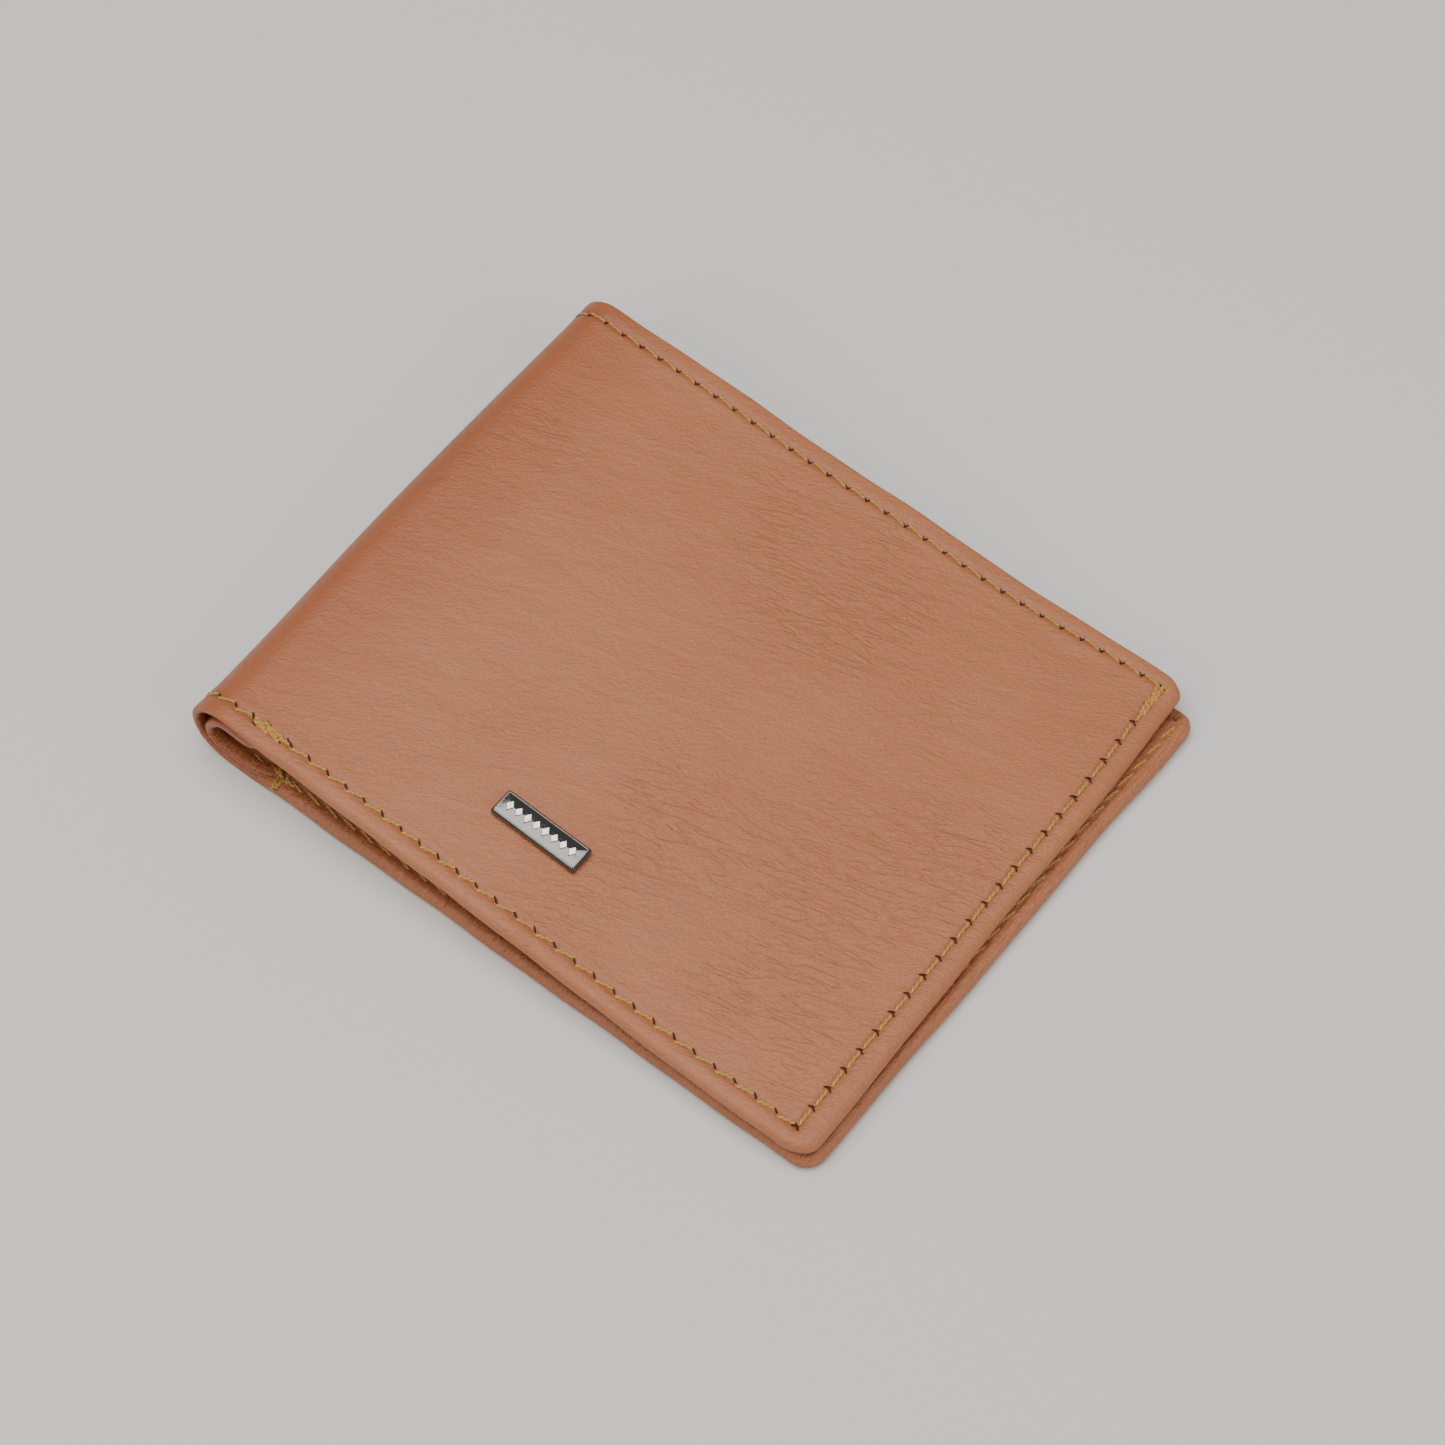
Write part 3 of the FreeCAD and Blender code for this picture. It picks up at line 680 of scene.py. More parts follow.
def hide_grain_group():
    """Pores, soft wrinkles and a few long creases of calf leather, with painted shade in their
    hollows. Heights are millimetres.
    """
    tree, given, result = node_group(
        "hide_grain",
        [("Place", "Vector"), ("Colour", "Color"), ("Warm", "Color"), ("Crease", "Color"),
         ("Wrinkles", "Float"), ("Stretch", "Float"), ("Seam", "Float"), ("Pleats", "Float")],
        [("Colour", "Color"), ("Roughness", "Float"), ("Height", "Float")])
    place = given.outputs["Place"]
    lie = math.radians(36)
    drift = noise(tree, place, 0.045, 2)
    wrinkle = noise(tree, stretched(tree, place, (1.5, 0.62, 1.0), lie), 1.0, 3.5, 0.58, 0.5)
    soft = noise(tree, stretched(tree, place, (9.0, 3.2, 5.0), 0.5 * lie), 1.0, 2, 0.5, 0.4)
    fold = noise(tree, stretched(tree, place, (8.0, 1.7, 3.0), 0.45 * lie), 1.0, 2, 0.5, 0.6)
    line = maths(tree, "ABSOLUTE", maths(tree, "SUBTRACT", fold, 0.5))
    patch = between(tree, noise(tree, place, 0.036, 1.5), 0.50, 0.66)
    crease = maths(tree, "MULTIPLY", between(tree, line, 0.0, 0.06, 1.0, 0.0), patch)
    spots = stretched(tree, place, (0.46, 0.34, 0.4), lie)
    pores = put(tree, "ShaderNodeTexVoronoi", {"Vector": spots, "Scale": 1.0, "Randomness": 1.0},
                feature="SMOOTH_F1").outputs["Distance"]
    pleats = noise(tree, stretched(tree, place, (0.5, 3.2, 0.6)), 1.0, 2, 0.6, 0.4)
    amount = maths(tree, "MULTIPLY", given.outputs["Wrinkles"],
                   between(tree, drift, 0.32, 0.66, 0.6, 1.3))
    height = maths(tree, "MULTIPLY", maths(tree, "MULTIPLY", wrinkle, 0.20), amount)
    height = maths(tree, "ADD", height, maths(tree, "MULTIPLY", soft, 0.30))
    height = maths(tree, "ADD", height, maths(tree, "MULTIPLY", pores, 0.10))
    height = maths(tree, "SUBTRACT", height, maths(tree, "MULTIPLY", crease, 0.08))
    pleat = maths(tree, "MULTIPLY", maths(tree, "MULTIPLY", pleats, given.outputs["Pleats"]), 0.5)
    height = maths(tree, "ADD", height, pleat)
    valley = between(tree, wrinkle, 0.30, 0.52, 1.0, 0.0)
    # Painted shade: the colour moves towards the shaded tone by the share it is given
    tone = mixed(tree, given.outputs["Stretch"], given.outputs["Colour"], given.outputs["Warm"])
    # Random mottling towards the same darker tone
    tone = mixed(tree, between(tree, drift, 0.38, 0.62, 0.0, 0.15), tone, given.outputs["Warm"])
    # Painted shade in the wrinkle valleys and along the long creases
    dark = maths(tree, "MULTIPLY", maths(tree, "MULTIPLY", valley, amount), 0.045)
    dark = maths(tree, "ADD", dark, maths(tree, "MULTIPLY", crease, 0.05))
    # Painted shade along the lines marked seam: the stitch grooves, and the pocket mouths and their
    # creases
    dark = maths(tree, "ADD", dark, maths(tree, "MULTIPLY", given.outputs["Seam"], 0.24))
    # All this painted shade pulls the colour towards the darkest leather
    tone = mixed(tree, dark, tone, given.outputs["Crease"])
    rough = between(tree, wrinkle, 0.3, 0.7, 0.52, 0.42)
    for label, value in (("Colour", tone), ("Roughness", rough), ("Height", height)):
        tree.links.new(value, result.inputs[label])
    return tree


def wear_group():
    """Fine scratches and dust: a mask and a roughness."""
    tree, given, result = node_group("handling_wear", [("Place", "Vector"), ("Roughness", "Float")],
                                     [("Mask", "Float"), ("Roughness", "Float")])
    place = given.outputs["Place"]
    scratch = noise(tree, stretched(tree, place, (2.5, 0.11, 0.33), 0.5), 1.0, 3, 0.6)
    smear = noise(tree, place, 0.35, 3, 0.6)
    mask = between(tree, scratch, 0.56, 0.72)
    rough = maths(tree, "ADD", given.outputs["Roughness"], maths(tree, "MULTIPLY", mask, 0.05))
    rough = maths(tree, "ADD", rough, between(tree, smear, 0.45, 0.7, 0.0, 0.05))
    tree.links.new(mask, result.inputs["Mask"])
    tree.links.new(rough, result.inputs["Roughness"])
    return tree


def weave_group():
    """A plain weave of crossing yarns: a height, and painted shade for the gaps between them."""
    tree, given, result = node_group("plain_weave", [("Place", "Vector"), ("Count", "Float")],
                                     [("Height", "Float"), ("Shade", "Float")])
    waves = []
    for direction in ("X", "Y"):
        wave = put(tree, "ShaderNodeTexWave", {"Vector": given.outputs["Place"],
                   "Scale": given.outputs["Count"], "Distortion": 0.6, "Detail": 1.0},
                   bands_direction=direction)
        waves.append(wave.outputs["Fac"])
    height = maths(tree, "MULTIPLY", *waves)
    tree.links.new(height, result.inputs["Height"])
    tree.links.new(between(tree, height, 0.0, 0.6), result.inputs["Shade"])
    return tree


def shared_group(name, make):
    """A shader node group, built once."""
    return bpy.data.node_groups.get(name) or make()


def new_material(name, **settings):
    """A material with its tree, its shader and object coordinates in millimetres."""
    material = bpy.data.materials.new(name)
    material.use_nodes = True
    tree = material.node_tree
    shader = tree.nodes["Principled BSDF"]
    for label, value in settings.items():
        shader.inputs[label.replace("_", " ")].default_value = value
    coordinates = put(tree, "ShaderNodeTexCoord").outputs["Object"]
    place = put(tree, "ShaderNodeVectorMath", {0: coordinates, "Scale": 1000.0},
                operation="SCALE").outputs[0]
    return material, tree, shader, place


def bump(tree, shader, height):
    """Height in millimetres, as relief."""
    node = put(tree, "ShaderNodeBump", {"Height": height, "Distance": 0.001, "Strength": 1.0})
    tree.links.new(node.outputs[0], shader.inputs["Normal"])


def attribute(tree, name):
    return put(tree, "ShaderNodeAttribute", attribute_name=name).outputs["Fac"]


def leather_material(name, wrinkles, shade_bias=0.0):
    """Tan calf leather with a satin finish, darker round the spine and inside by painted shade."""
    found = bpy.data.materials.get(name)
    if found:
        return found
    material, tree, shader, place = new_material(name, Coat_Weight=0.18, Coat_Roughness=0.38,
                                                 Specular_IOR_Level=0.42)
    split = put(tree, "ShaderNodeSeparateXYZ", {0: place})
    # Painted shade, strongest round the spine and gone 17 mm onto the halves, raised on the inner
    # leather and at least 0.8 on inside faces
    stretch = between(tree, split.outputs["X"], spine_x() - 3.0, spine_x() + 17.0, 1.0, 0.0)
    stretch = maths(tree, "ADD", maths(tree, "MULTIPLY", stretch, 0.75), shade_bias)
    inside = attribute(tree, "inside")
    stretch = maths(tree, "MAXIMUM", stretch, maths(tree, "MULTIPLY", inside, 0.8))
    lively = maths(tree, "MULTIPLY_ADD", inside, 0.9, wrinkles)
    grain = put(tree, "ShaderNodeGroup", node_tree=shared_group("hide_grain", hide_grain_group))
    for label, value in (("Place", place), ("Stretch", stretch), ("Wrinkles", lively),
                         ("Seam", attribute(tree, "seam")), ("Pleats", attribute(tree, "pleat"))):
        tree.links.new(value, grain.inputs[label])
    for label, tone in (("Colour", "leather"), ("Warm", "leather_warm"),
                        ("Crease", "leather_crease")):
        grain.inputs[label].default_value = shade(tone)
    tree.links.new(grain.outputs["Colour"], shader.inputs["Base Color"])
    tree.links.new(grain.outputs["Roughness"], shader.inputs["Roughness"])
    bump(tree, shader, grain.outputs["Height"])
    return material


def thread_material():
    """Twisted polyester thread: lit plies with dark gaps between them."""
    found = bpy.data.materials.get("twisted_thread")
    if found:
        return found
    material, tree, shader, place = new_material("twisted_thread", Roughness=0.48,
                                                 Specular_IOR_Level=0.5, Sheen_Weight=0.25)
    along = maths(tree, "MULTIPLY", attribute(tree, "run"), 2 * seam_settings().twists)
    phase = maths(tree, "ADD", along, attribute(tree, "round"))
    ply = maths(tree, "SINE", maths(tree, "MULTIPLY", phase, 4 * math.pi))
    fibre = noise(tree, place, 9.0, 2)
    # Painted light on the plies and painted shade in the gaps between them
    lit = between(tree, maths(tree, "MULTIPLY_ADD", fibre, 0.8, ply), -0.9, 0.9)
    tree.links.new(mixed(tree, lit, shade("thread_shade"), shade("thread")),
                   shader.inputs["Base Color"])
    bump(tree, shader, maths(tree, "MULTIPLY", lit, 0.05))
    return material


def metal_material(name, tone, roughness):
    """Polished plated metal with faint handling marks."""
    found = bpy.data.materials.get(name)
    if found:
        return found
    material, tree, shader, place = new_material(name, Metallic=1.0)
    wear = put(tree, "ShaderNodeGroup", node_tree=shared_group("handling_wear", wear_group))
    tree.links.new(place, wear.inputs["Place"])
    wear.inputs["Roughness"].default_value = roughness
    base = shade(tone)
    dull = tuple(0.7 * c for c in base[:3]) + (1,)
    tree.links.new(mixed(tree, wear.outputs["Mask"], base, dull), shader.inputs["Base Color"])
    tree.links.new(wear.outputs["Roughness"], shader.inputs["Roughness"])
    bump(tree, shader, maths(tree, "MULTIPLY", wear.outputs["Mask"], 0.002))
    return material


def woven_material(name, tone, count, rough):
    """Cloth or fibre board."""
    found = bpy.data.materials.get(name)
    if found:
        return found
    material, tree, shader, place = new_material(name, Roughness=rough)
    weave = put(tree, "ShaderNodeGroup", node_tree=shared_group("plain_weave", weave_group))
    tree.links.new(place, weave.inputs["Place"])
    weave.inputs["Count"].default_value = count
    base = shade(tone)
    # Painted shade: the gaps between the yarns darken to this tone
    deep = tuple(0.55 * c for c in base[:3]) + (1,)
    tree.links.new(mixed(tree, weave.outputs["Shade"], deep, base), shader.inputs["Base Color"])
    bump(tree, shader, maths(tree, "MULTIPLY", weave.outputs["Height"], 0.04))
    return material


def hole_shadow_material():
    """The painted shadow inside a needle hole, on the dark slits laid over the leather."""
    found = bpy.data.materials.get("needle_hole")
    if found:
        return found
    material, tree, shader, place = new_material("needle_hole", Specular_IOR_Level=0.1)
    base = shade("needle_hole")
    light = tuple(2.2 * c for c in base[:3]) + (1,)
    grain = noise(tree, place, 4.0, 2)
    tree.links.new(mixed(tree, grain, base, light), shader.inputs["Base Color"])
    tree.links.new(between(tree, grain, 0.2, 0.8, 0.75, 0.95), shader.inputs["Roughness"])
    return material


def floor_material():
    """Matt pale paper."""
    material, tree, shader, place = new_material("pale_floor", Roughness=0.85,
                                                 Specular_IOR_Level=0.2)
    base = shade("floor")
    low = tuple(0.975 * c for c in base[:3]) + (1,)
    grain = noise(tree, place, 0.8, 4)
    tree.links.new(mixed(tree, grain, low, base), shader.inputs["Base Color"])
    bump(tree, shader, maths(tree, "MULTIPLY", grain, 0.02))
    return material


# ---- stitches ---------------------------------------------------------------------------------

def place_marks(half, x, y, depth, along, turn, scale, reach=1.0):
    """Marks on the leather, each with its directions, turn, thickness and length."""
    x, y, depth = (np.array(v, float) for v in np.broadcast_arrays(x, y, depth))
    step = 0.05
    here = placed(half, x, y, depth)
    ahead = placed(half, x + step * along[0], y + step * along[1], depth) - here
    up = placed(half, x, y, depth - step) - here
    ahead /= np.linalg.norm(ahead, axis=-1, keepdims=True)
    up /= np.linalg.norm(up, axis=-1, keepdims=True)
    turn, scale, reach = (np.broadcast_to(v, x.shape) for v in (turn, scale, reach))
    return [{"place": p, "ahead": a, "up": u, "turn": t, "scale": s, "reach": r, "x": c}
            for p, a, u, t, s, r, c in zip(here, ahead, up, turn, scale, reach, x)]


def hole_rows(half):
    """Needle holes of each outer row: x, y and the direction along the row."""
    far, high = half_length(half) - size("margin"), HALF_HEIGHT - size("margin")
    low_x = -fold_turn() * size("spine_radius") if half == "front" else 1.0
    count = int((far - low_x) / size("pitch"))
    x = far - size("pitch") * np.arange(count + 1)[::-1]
    y = -high + side_pitch() * np.arange(round(2 * high / side_pitch()) + 1)
    return {"bottom": (x, np.full(len(x), -high), (1.0, 0.0)),
            "side": (np.full(len(y), far), y, (0.0, 1.0)),
            "top": (x, np.full(len(x), high), (1.0, 0.0))}


def outer_stitches(half):
    """Stitches on the outer face, thinner on the hems at the top edge and the spine."""
    found = []
    tack_end = size("tack_start") + size("tack_length")
    lift = 0.14 if half == "front" else 0.44
    for row, (x, y, along) in hole_rows(half).items():
        middle_x, middle_y = (x[1:] + x[:-1]) / 2, (y[1:] + y[:-1]) / 2
        slant = seam_settings().slant * {"bottom": 1, "side": 0.15, "top": -0.6}[row]
        fine = size("hem_thread") / size("thread")
        if row == "top":
            thickness = np.full(len(middle_x), fine)
        else:
            thickness = np.where(middle_x < size("tack_start"), fine, 1.0)
        keep = np.ones(len(middle_x), bool)
        if row == "bottom":
            keep = (middle_x > tack_end - 0.5) | (middle_x < size("tack_start") - 0.8)
        found += place_marks(half, middle_x[keep], middle_y[keep], lift, along, slant,
                             thickness[keep])
    return found


def inner_stitches(half):
    """Stitches on the turned hem inside."""
    found = []
    depth = size("seam_rim") - 0.12
    for row, (x, y, along) in hole_rows(half).items():
        if row == "top":
            continue
        middle_x, middle_y = (x[1:] + x[:-1]) / 2, (y[1:] + y[:-1]) / 2
        keep = middle_x > size("tack_start")
        shift = size("margin") - size("inner_margin")
        found += place_marks(half, middle_x[keep] + shift * along[1],
                             middle_y[keep] - shift * along[0], depth, along,
                             -0.8 * seam_settings().slant, 0.9)
    for mark in found:
        mark["up"] = -mark["up"]
    return found


def needle_holes(half):
    """Painted shadows of the needle holes beside the stitches, a dark slit across the row at each."""
    found = []
    tack_end = size("tack_start") + size("tack_length")
    level = {"front": 0.11, "back": 0.24}[half]
    slits = {"bottom": ((0.0, 0.10, -0.62, 1.0, 1.15),),
             "side": ((-0.36, 0.05, -1.0, 1.0, 0.95), (0.22, -0.14, -2.1, 0.9, 0.75)),
             "top": ((0.10, -0.26, 0.95, 0.8, 0.75), (-0.16, -0.24, -0.6, 0.8, 0.8))}
    for row, (x, y, along) in hole_rows(half).items():
        keep = np.ones(len(x), bool)
        if row == "bottom":
            keep = (x > tack_end - 0.5) | (x < size("tack_start") - 0.8)
        for shift_x, shift_y, turn, width, reach in slits[row]:
            found += place_marks(half, x[keep] + shift_x, y[keep] + shift_y, level, along, turn,
                                 width, reach)
        if row == "bottom":
            tack = size("tack_start") + np.array([-0.5, 0.5, 2.1, 5.2, 6.0])
            found += place_marks(half, tack, y[0] + np.array([0.3, -0.7, 0.75, -0.65, 0.3]), level,
                                 along, np.array([-0.7, -0.3, -0.35, -0.3, -0.8]), 1.3, 1.3)
    return found


def stitch_tree():
    """Puts one twisted stitch on each mark, with small differences between them."""
    tree, given, result = node_group(
        "stitch_row",
        [("Marks", "Geometry"), ("Length", "Float"), ("Radius", "Float"), ("Dip", "Float"),
         ("Twists", "Float"), ("Seed", "Int"), ("Material", "Material")],
        [("Geometry", "Geometry")], "GeometryNodeTree")
    length_in, radius_in = given.outputs["Length"], given.outputs["Radius"]
    half = maths(tree, "MULTIPLY", length_in, 0.5)
    ends = []
    for sign in (-1, 1):
        ends.append(put(tree, "ShaderNodeCombineXYZ", {"X": maths(tree, "MULTIPLY", half, sign),
                    "Z": maths(tree, "MULTIPLY", given.outputs["Dip"], -1.0)}).outputs[0])
    middle = put(tree, "ShaderNodeCombineXYZ", {"Z": given.outputs["Dip"]}).outputs[0]
    path = put(tree, "GeometryNodeCurveQuadraticBezier", {"Resolution": 7, "Start": ends[0],
               "Middle": middle, "End": ends[1]}).outputs[0]
    share = put(tree, "GeometryNodeSplineParameter").outputs["Factor"]
    path = put(tree, "GeometryNodeStoreNamedAttribute", {"Geometry": path, "Name": "run",
               "Value": share}, data_type="FLOAT", domain="POINT").outputs[0]
    tilt = maths(tree, "MULTIPLY", maths(tree, "MULTIPLY", share, given.outputs["Twists"]),
                 2 * math.pi)
    path = put(tree, "GeometryNodeSetCurveTilt", {"Curve": path, "Tilt": tilt}).outputs[0]
    taper = between(tree, maths(tree, "ABSOLUTE", maths(tree, "SUBTRACT", share, 0.5)),
                    0.30, 0.5, 1.0, 0.62)
    path = put(tree, "GeometryNodeSetCurveRadius", {"Curve": path, "Radius": taper}).outputs[0]
    ring = put(tree, "GeometryNodeCurvePrimitiveCircle", {"Resolution": 6, "Radius": radius_in},
               mode="RADIUS").outputs[0]
    ring = put(tree, "GeometryNodeStoreNamedAttribute", {"Geometry": ring, "Name": "round",
               "Value": put(tree, "GeometryNodeSplineParameter").outputs["Factor"]},
               data_type="FLOAT", domain="POINT").outputs[0]
    index = put(tree, "GeometryNodeInputIndex").outputs[0]
    lobe = maths(tree, "MULTIPLY_ADD", maths(tree, "MODULO", index, 3.0), -0.13, 1.08)
    spot = put(tree, "GeometryNodeInputPosition").outputs[0]
    spot = put(tree, "ShaderNodeVectorMath", {0: spot, "Scale": lobe}, operation="SCALE").outputs[0]
    ring = put(tree, "GeometryNodeSetPosition", {"Geometry": ring, "Position": spot}).outputs[0]
    body = put(tree, "GeometryNodeCurveToMesh", {"Curve": path, "Profile Curve": ring,
               "Fill Caps": True}).outputs[0]
    scatter_marks(tree, given, result, body, 0.06, 0.07)
    return tree


def scatter_marks(tree, given, result, shape, play, stretch):
    """Stands a shape on every mark, turned to it, and makes it real."""
    def named(label, data_type):
        node = put(tree, "GeometryNodeInputNamedAttribute", {"Name": label}, data_type=data_type)
        return node.outputs["Attribute"]

    def chance(low, high, number):
        seed = maths(tree, "ADD", given.outputs["Seed"], float(number))
        node = put(tree, "FunctionNodeRandomValue", {2: low, 3: high, "Seed": seed},
                   data_type="FLOAT")
        return node.outputs[1]

    stand = put(tree, "FunctionNodeAxesToRotation", {0: named("up", "FLOAT_VECTOR"),
                1: named("ahead", "FLOAT_VECTOR")}, primary_axis="Z", secondary_axis="X").outputs[0]
    turn = maths(tree, "ADD", named("turn", "FLOAT"), chance(-play, play, 1))
    euler = put(tree, "ShaderNodeCombineXYZ", {"Z": turn, "Y": chance(-0.04, 0.04, 2)}).outputs[0]
    spin = put(tree, "FunctionNodeEulerToRotation", {0: euler}).outputs[0]
    stand = put(tree, "FunctionNodeRotateRotation", {0: stand, 1: spin},
                rotation_space="LOCAL").outputs[0]
    thick = maths(tree, "MULTIPLY", named("scale", "FLOAT"), chance(0.9, 1.08, 3))
    long = maths(tree, "MULTIPLY", named("reach", "FLOAT"), chance(1 - stretch, 1 + stretch, 4))
    grow = put(tree, "ShaderNodeCombineXYZ", {"X": long, "Y": thick, "Z": thick}).outputs[0]
    placed_shapes = put(tree, "GeometryNodeInstanceOnPoints", {"Points": given.outputs["Marks"],
                        "Instance": shape, "Rotation": stand, "Scale": grow}).outputs[0]
    real = put(tree, "GeometryNodeRealizeInstances", {"Geometry": placed_shapes}).outputs[0]
    real = put(tree, "GeometryNodeSetShadeSmooth", {"Geometry": real}).outputs[0]
    real = put(tree, "GeometryNodeSetMaterial", {"Geometry": real,
               "Material": given.outputs["Material"]}).outputs[0]
    tree.links.new(real, result.inputs["Geometry"])


def hole_shadow_tree():
    """A narrow pointed dark slit on each mark, the painted shadow of a needle hole."""
    tree, given, result = node_group(
        "needle_holes", [("Marks", "Geometry"), ("Length", "Float"), ("Width", "Float"),
                         ("Depth", "Float"), ("Seed", "Int"), ("Material", "Material")],
        [("Geometry", "Geometry")], "GeometryNodeTree")
    ball = put(tree, "GeometryNodeMeshUVSphere", {"Segments": 8, "Rings": 4,
               "Radius": 0.5}).outputs[0]
    grow = put(tree, "ShaderNodeCombineXYZ", {"X": given.outputs["Length"],
               "Y": given.outputs["Width"], "Z": given.outputs["Depth"]}).outputs[0]
    slit = put(tree, "GeometryNodeTransform", {"Geometry": ball, "Scale": grow}).outputs[0]
    scatter_marks(tree, given, result, slit, 0.12, 0.12)
    return tree


def marks_object(name, marks):
    """A mesh of loose points with the direction and size of each mark."""
    mesh = bpy.data.meshes.new(name)
    mesh.from_pydata([tuple(mark["place"] / 1000) for mark in marks], [], [])
    for label in ("ahead", "up"):
        layer = mesh.attributes.new(label, "FLOAT_VECTOR", "POINT")
        layer.data.foreach_set("vector", np.array([mark[label] for mark in marks]).ravel())
    for label in ("turn", "scale", "reach"):
        layer = mesh.attributes.new(label, "FLOAT", "POINT")
        layer.data.foreach_set("value", [float(mark[label]) for mark in marks])
    piece = bpy.data.objects.new(name, mesh)
    bpy.context.scene.collection.objects.link(piece)
    return piece


def grown(name, marks, tree, values):
    """Runs a node tree on marks and returns the result as a plain mesh object."""
    source = marks_object(name + "_marks", marks)
    modifier = source.modifiers.new("rows", "NODES")
    modifier.node_group = tree
    sockets = {item.name: item.identifier for item in tree.interface.items_tree
               if item.in_out == "INPUT"}
    for label, value in values.items():
        modifier[sockets[label]] = value
    evaluated = source.evaluated_get(bpy.context.evaluated_depsgraph_get())
    mesh = bpy.data.meshes.new_from_object(evaluated)
    source.modifiers.remove(modifier)
    bpy.data.objects.remove(source)
    if not mesh.polygons:
        raise RuntimeError(f"{name} came out empty")
    mesh.name = name
    piece = bpy.data.objects.new(name, mesh)
    bpy.context.scene.collection.objects.link(piece)
    return piece


def share_marks(marks, half, found, others=()):
    """Shares a half's marks out between its own piece, the middle of the spine and, where the
    front's rows go on round it, the back's piece. The others are all the half's own."""
    limit = own_start()
    marks[half] += [mark for mark in found if mark["x"] >= limit] + list(others)
    marks["middle"] += [mark for mark in found if limit > mark["x"] >= 2 * limit]
    marks["back"] += [mark for mark in found if mark["x"] < 2 * limit]


def grow_marks(label, marks, tree, values, nodes=None):
    """One mesh for each part of the fold."""
    for place, found in marks.items():
        piece = grown(PART_NAMES[place] + label, found, tree, values)
        bend(piece, place)
        if nodes:
            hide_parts(*nodes[place])


def tack_marks(half):
    """Overlapping stitches of the back-tack near the spine, and of the doubled corner."""
    found = []
    lift = 0.08 if half == "front" else 0.50
    start, middle_y = size("tack_start"), -(HALF_HEIGHT - size("margin"))
    strands = ((1.0, 0.12, -0.26, 0.9), (1.5, -0.36, -0.20, 1.0), (2.6, 0.32, -0.30, 1.0),
               (3.7, -0.30, -0.22, 1.15), (4.2, 0.26, -0.16, 1.05), (5.6, -0.05, 0.16, 0.7))
    for place, offset, turn, reach in strands:
        found += place_marks(half, [start + place], middle_y + offset, lift - 0.06 * abs(offset),
                             (1.0, 0.0), turn, 1.3, reach)
    if half == "back":
        knot = []
        for place, across, turn in ((4.6, 1.0, 0.2), (5.2, 1.3, -0.15), (5.7, 2.5, 0.5),
                                    (4.2, 2.7, 0.9), (6.4, 2.3, 1.3)):
            knot += place_marks(half, [start + place], -HALF_HEIGHT + across,
                                size("seam_rim") - 0.1, (0.0, 1.0), turn, 1.25, 0.72)
        for mark in knot:
            mark["up"] = -mark["up"]
        found += knot
    far, high = half_length(half) - size("margin"), HALF_HEIGHT - size("margin")
    for offset, drop, turn in ((-0.42, 1.2, 0.22), (0.30, 1.5, 0.10), (-0.25, 3.9, 0.10),
                               (0.32, 4.2, 0.02)):
        found += place_marks(half, [far + offset], high - drop, lift, (0.0, 1.0), turn, 1.2, 0.95)
    for step, turn in ((0.1, 0.8), (0.4, 0.1), (0.8, 1.2), (1.1, 0.5)):
        found += place_marks(half, [far + step], high + 0.4 * step, lift + 0.06 * step,
                             (0.75, 0.65), turn, 1.15, 0.55)
    return found


# ---- pieces -----------------------------------------------------------------------------------

def cover_leather():
    return leather_material("tan_calf", 0.85)


def inner_leather():
    # The third value raises the painted shade all over the inner leather
    return leather_material("inner_calf", 1.15, 0.2)


def make_cover(half):
    """A half's outer leather with its rolled edge and turned hem."""
    def section(rim, x, y):
        return cover_section(rim.rim_depth(), rim.pulled(), x, y)

    piece = half_shell(half + "_cover_leather", half, own_start(), section, cover_leather(),
                       lambda x: size("face_drop") + 0 * x, lambda x: size("leather") + 0 * x)
    bend(piece, half)
    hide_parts(half + "_cover", "spine_lower_leather" if half == "back"
                else "spine_upper_leather")


def make_spine_leather():
    """The cover leather's middle third of the fold."""
    rows = Rim("back", own_start()).rows
    thin = np.array(size("hem_rim"))

    def loop(turn):
        hole = size("front_length") - size("margin")
        x = (turn - fold_turn()) * size("spine_radius")
        pulled = hole_phase(x, hole, size("pitch"))
        rings = cover_section(thin, pulled, np.array(x), np.array(HALF_HEIGHT))
        return band_loop(rings, rows, size("face_drop"), size("leather"))

    piece = band_shell("spine_cover_leather", join_stations(join_angle(1), join_angle(2)), loop,
                       cover_leather())
    bend(piece, "middle")
    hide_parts("spine_lower_leather", "spine_upper_leather")


def make_inner_wall(half):
    """The wall between the note compartment and the card pockets."""
    def section(rim, x, y):
        return wall_section(wall_front(half, x), x, y)

    piece = half_shell(half + "_inner_wall_leather", half, own_start(), section,
                       inner_leather(), lambda x: wall_front(half, x),
                       lambda x: wall_front(half, x) + size("wall"))
    bend(piece, half, wall_depths(half))
    strip = "spine_lower" if half == "back" else "spine_upper"
    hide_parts(half + "_inner_wall", strip + "_inner_wall")


def make_spine_wall():
    """The inner wall's middle third of the fold."""
    rows = Rim("back", own_start()).rows

    def loop(turn):
        x = -turn * size("spine_radius")
        base = np.array(wall_front("back", x), float)
        rings = wall_section(base, np.array(x), np.array(HALF_HEIGHT))
        return band_loop(rings, rows, base, base + size("wall"))

    piece = band_shell("spine_inner_wall_leather", join_stations(join_angle(1), join_angle(2)),
                       loop, inner_leather())
    bend(piece, "middle", wall_depths("middle"))
    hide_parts("spine_lower_inner_wall", "spine_upper_inner_wall")


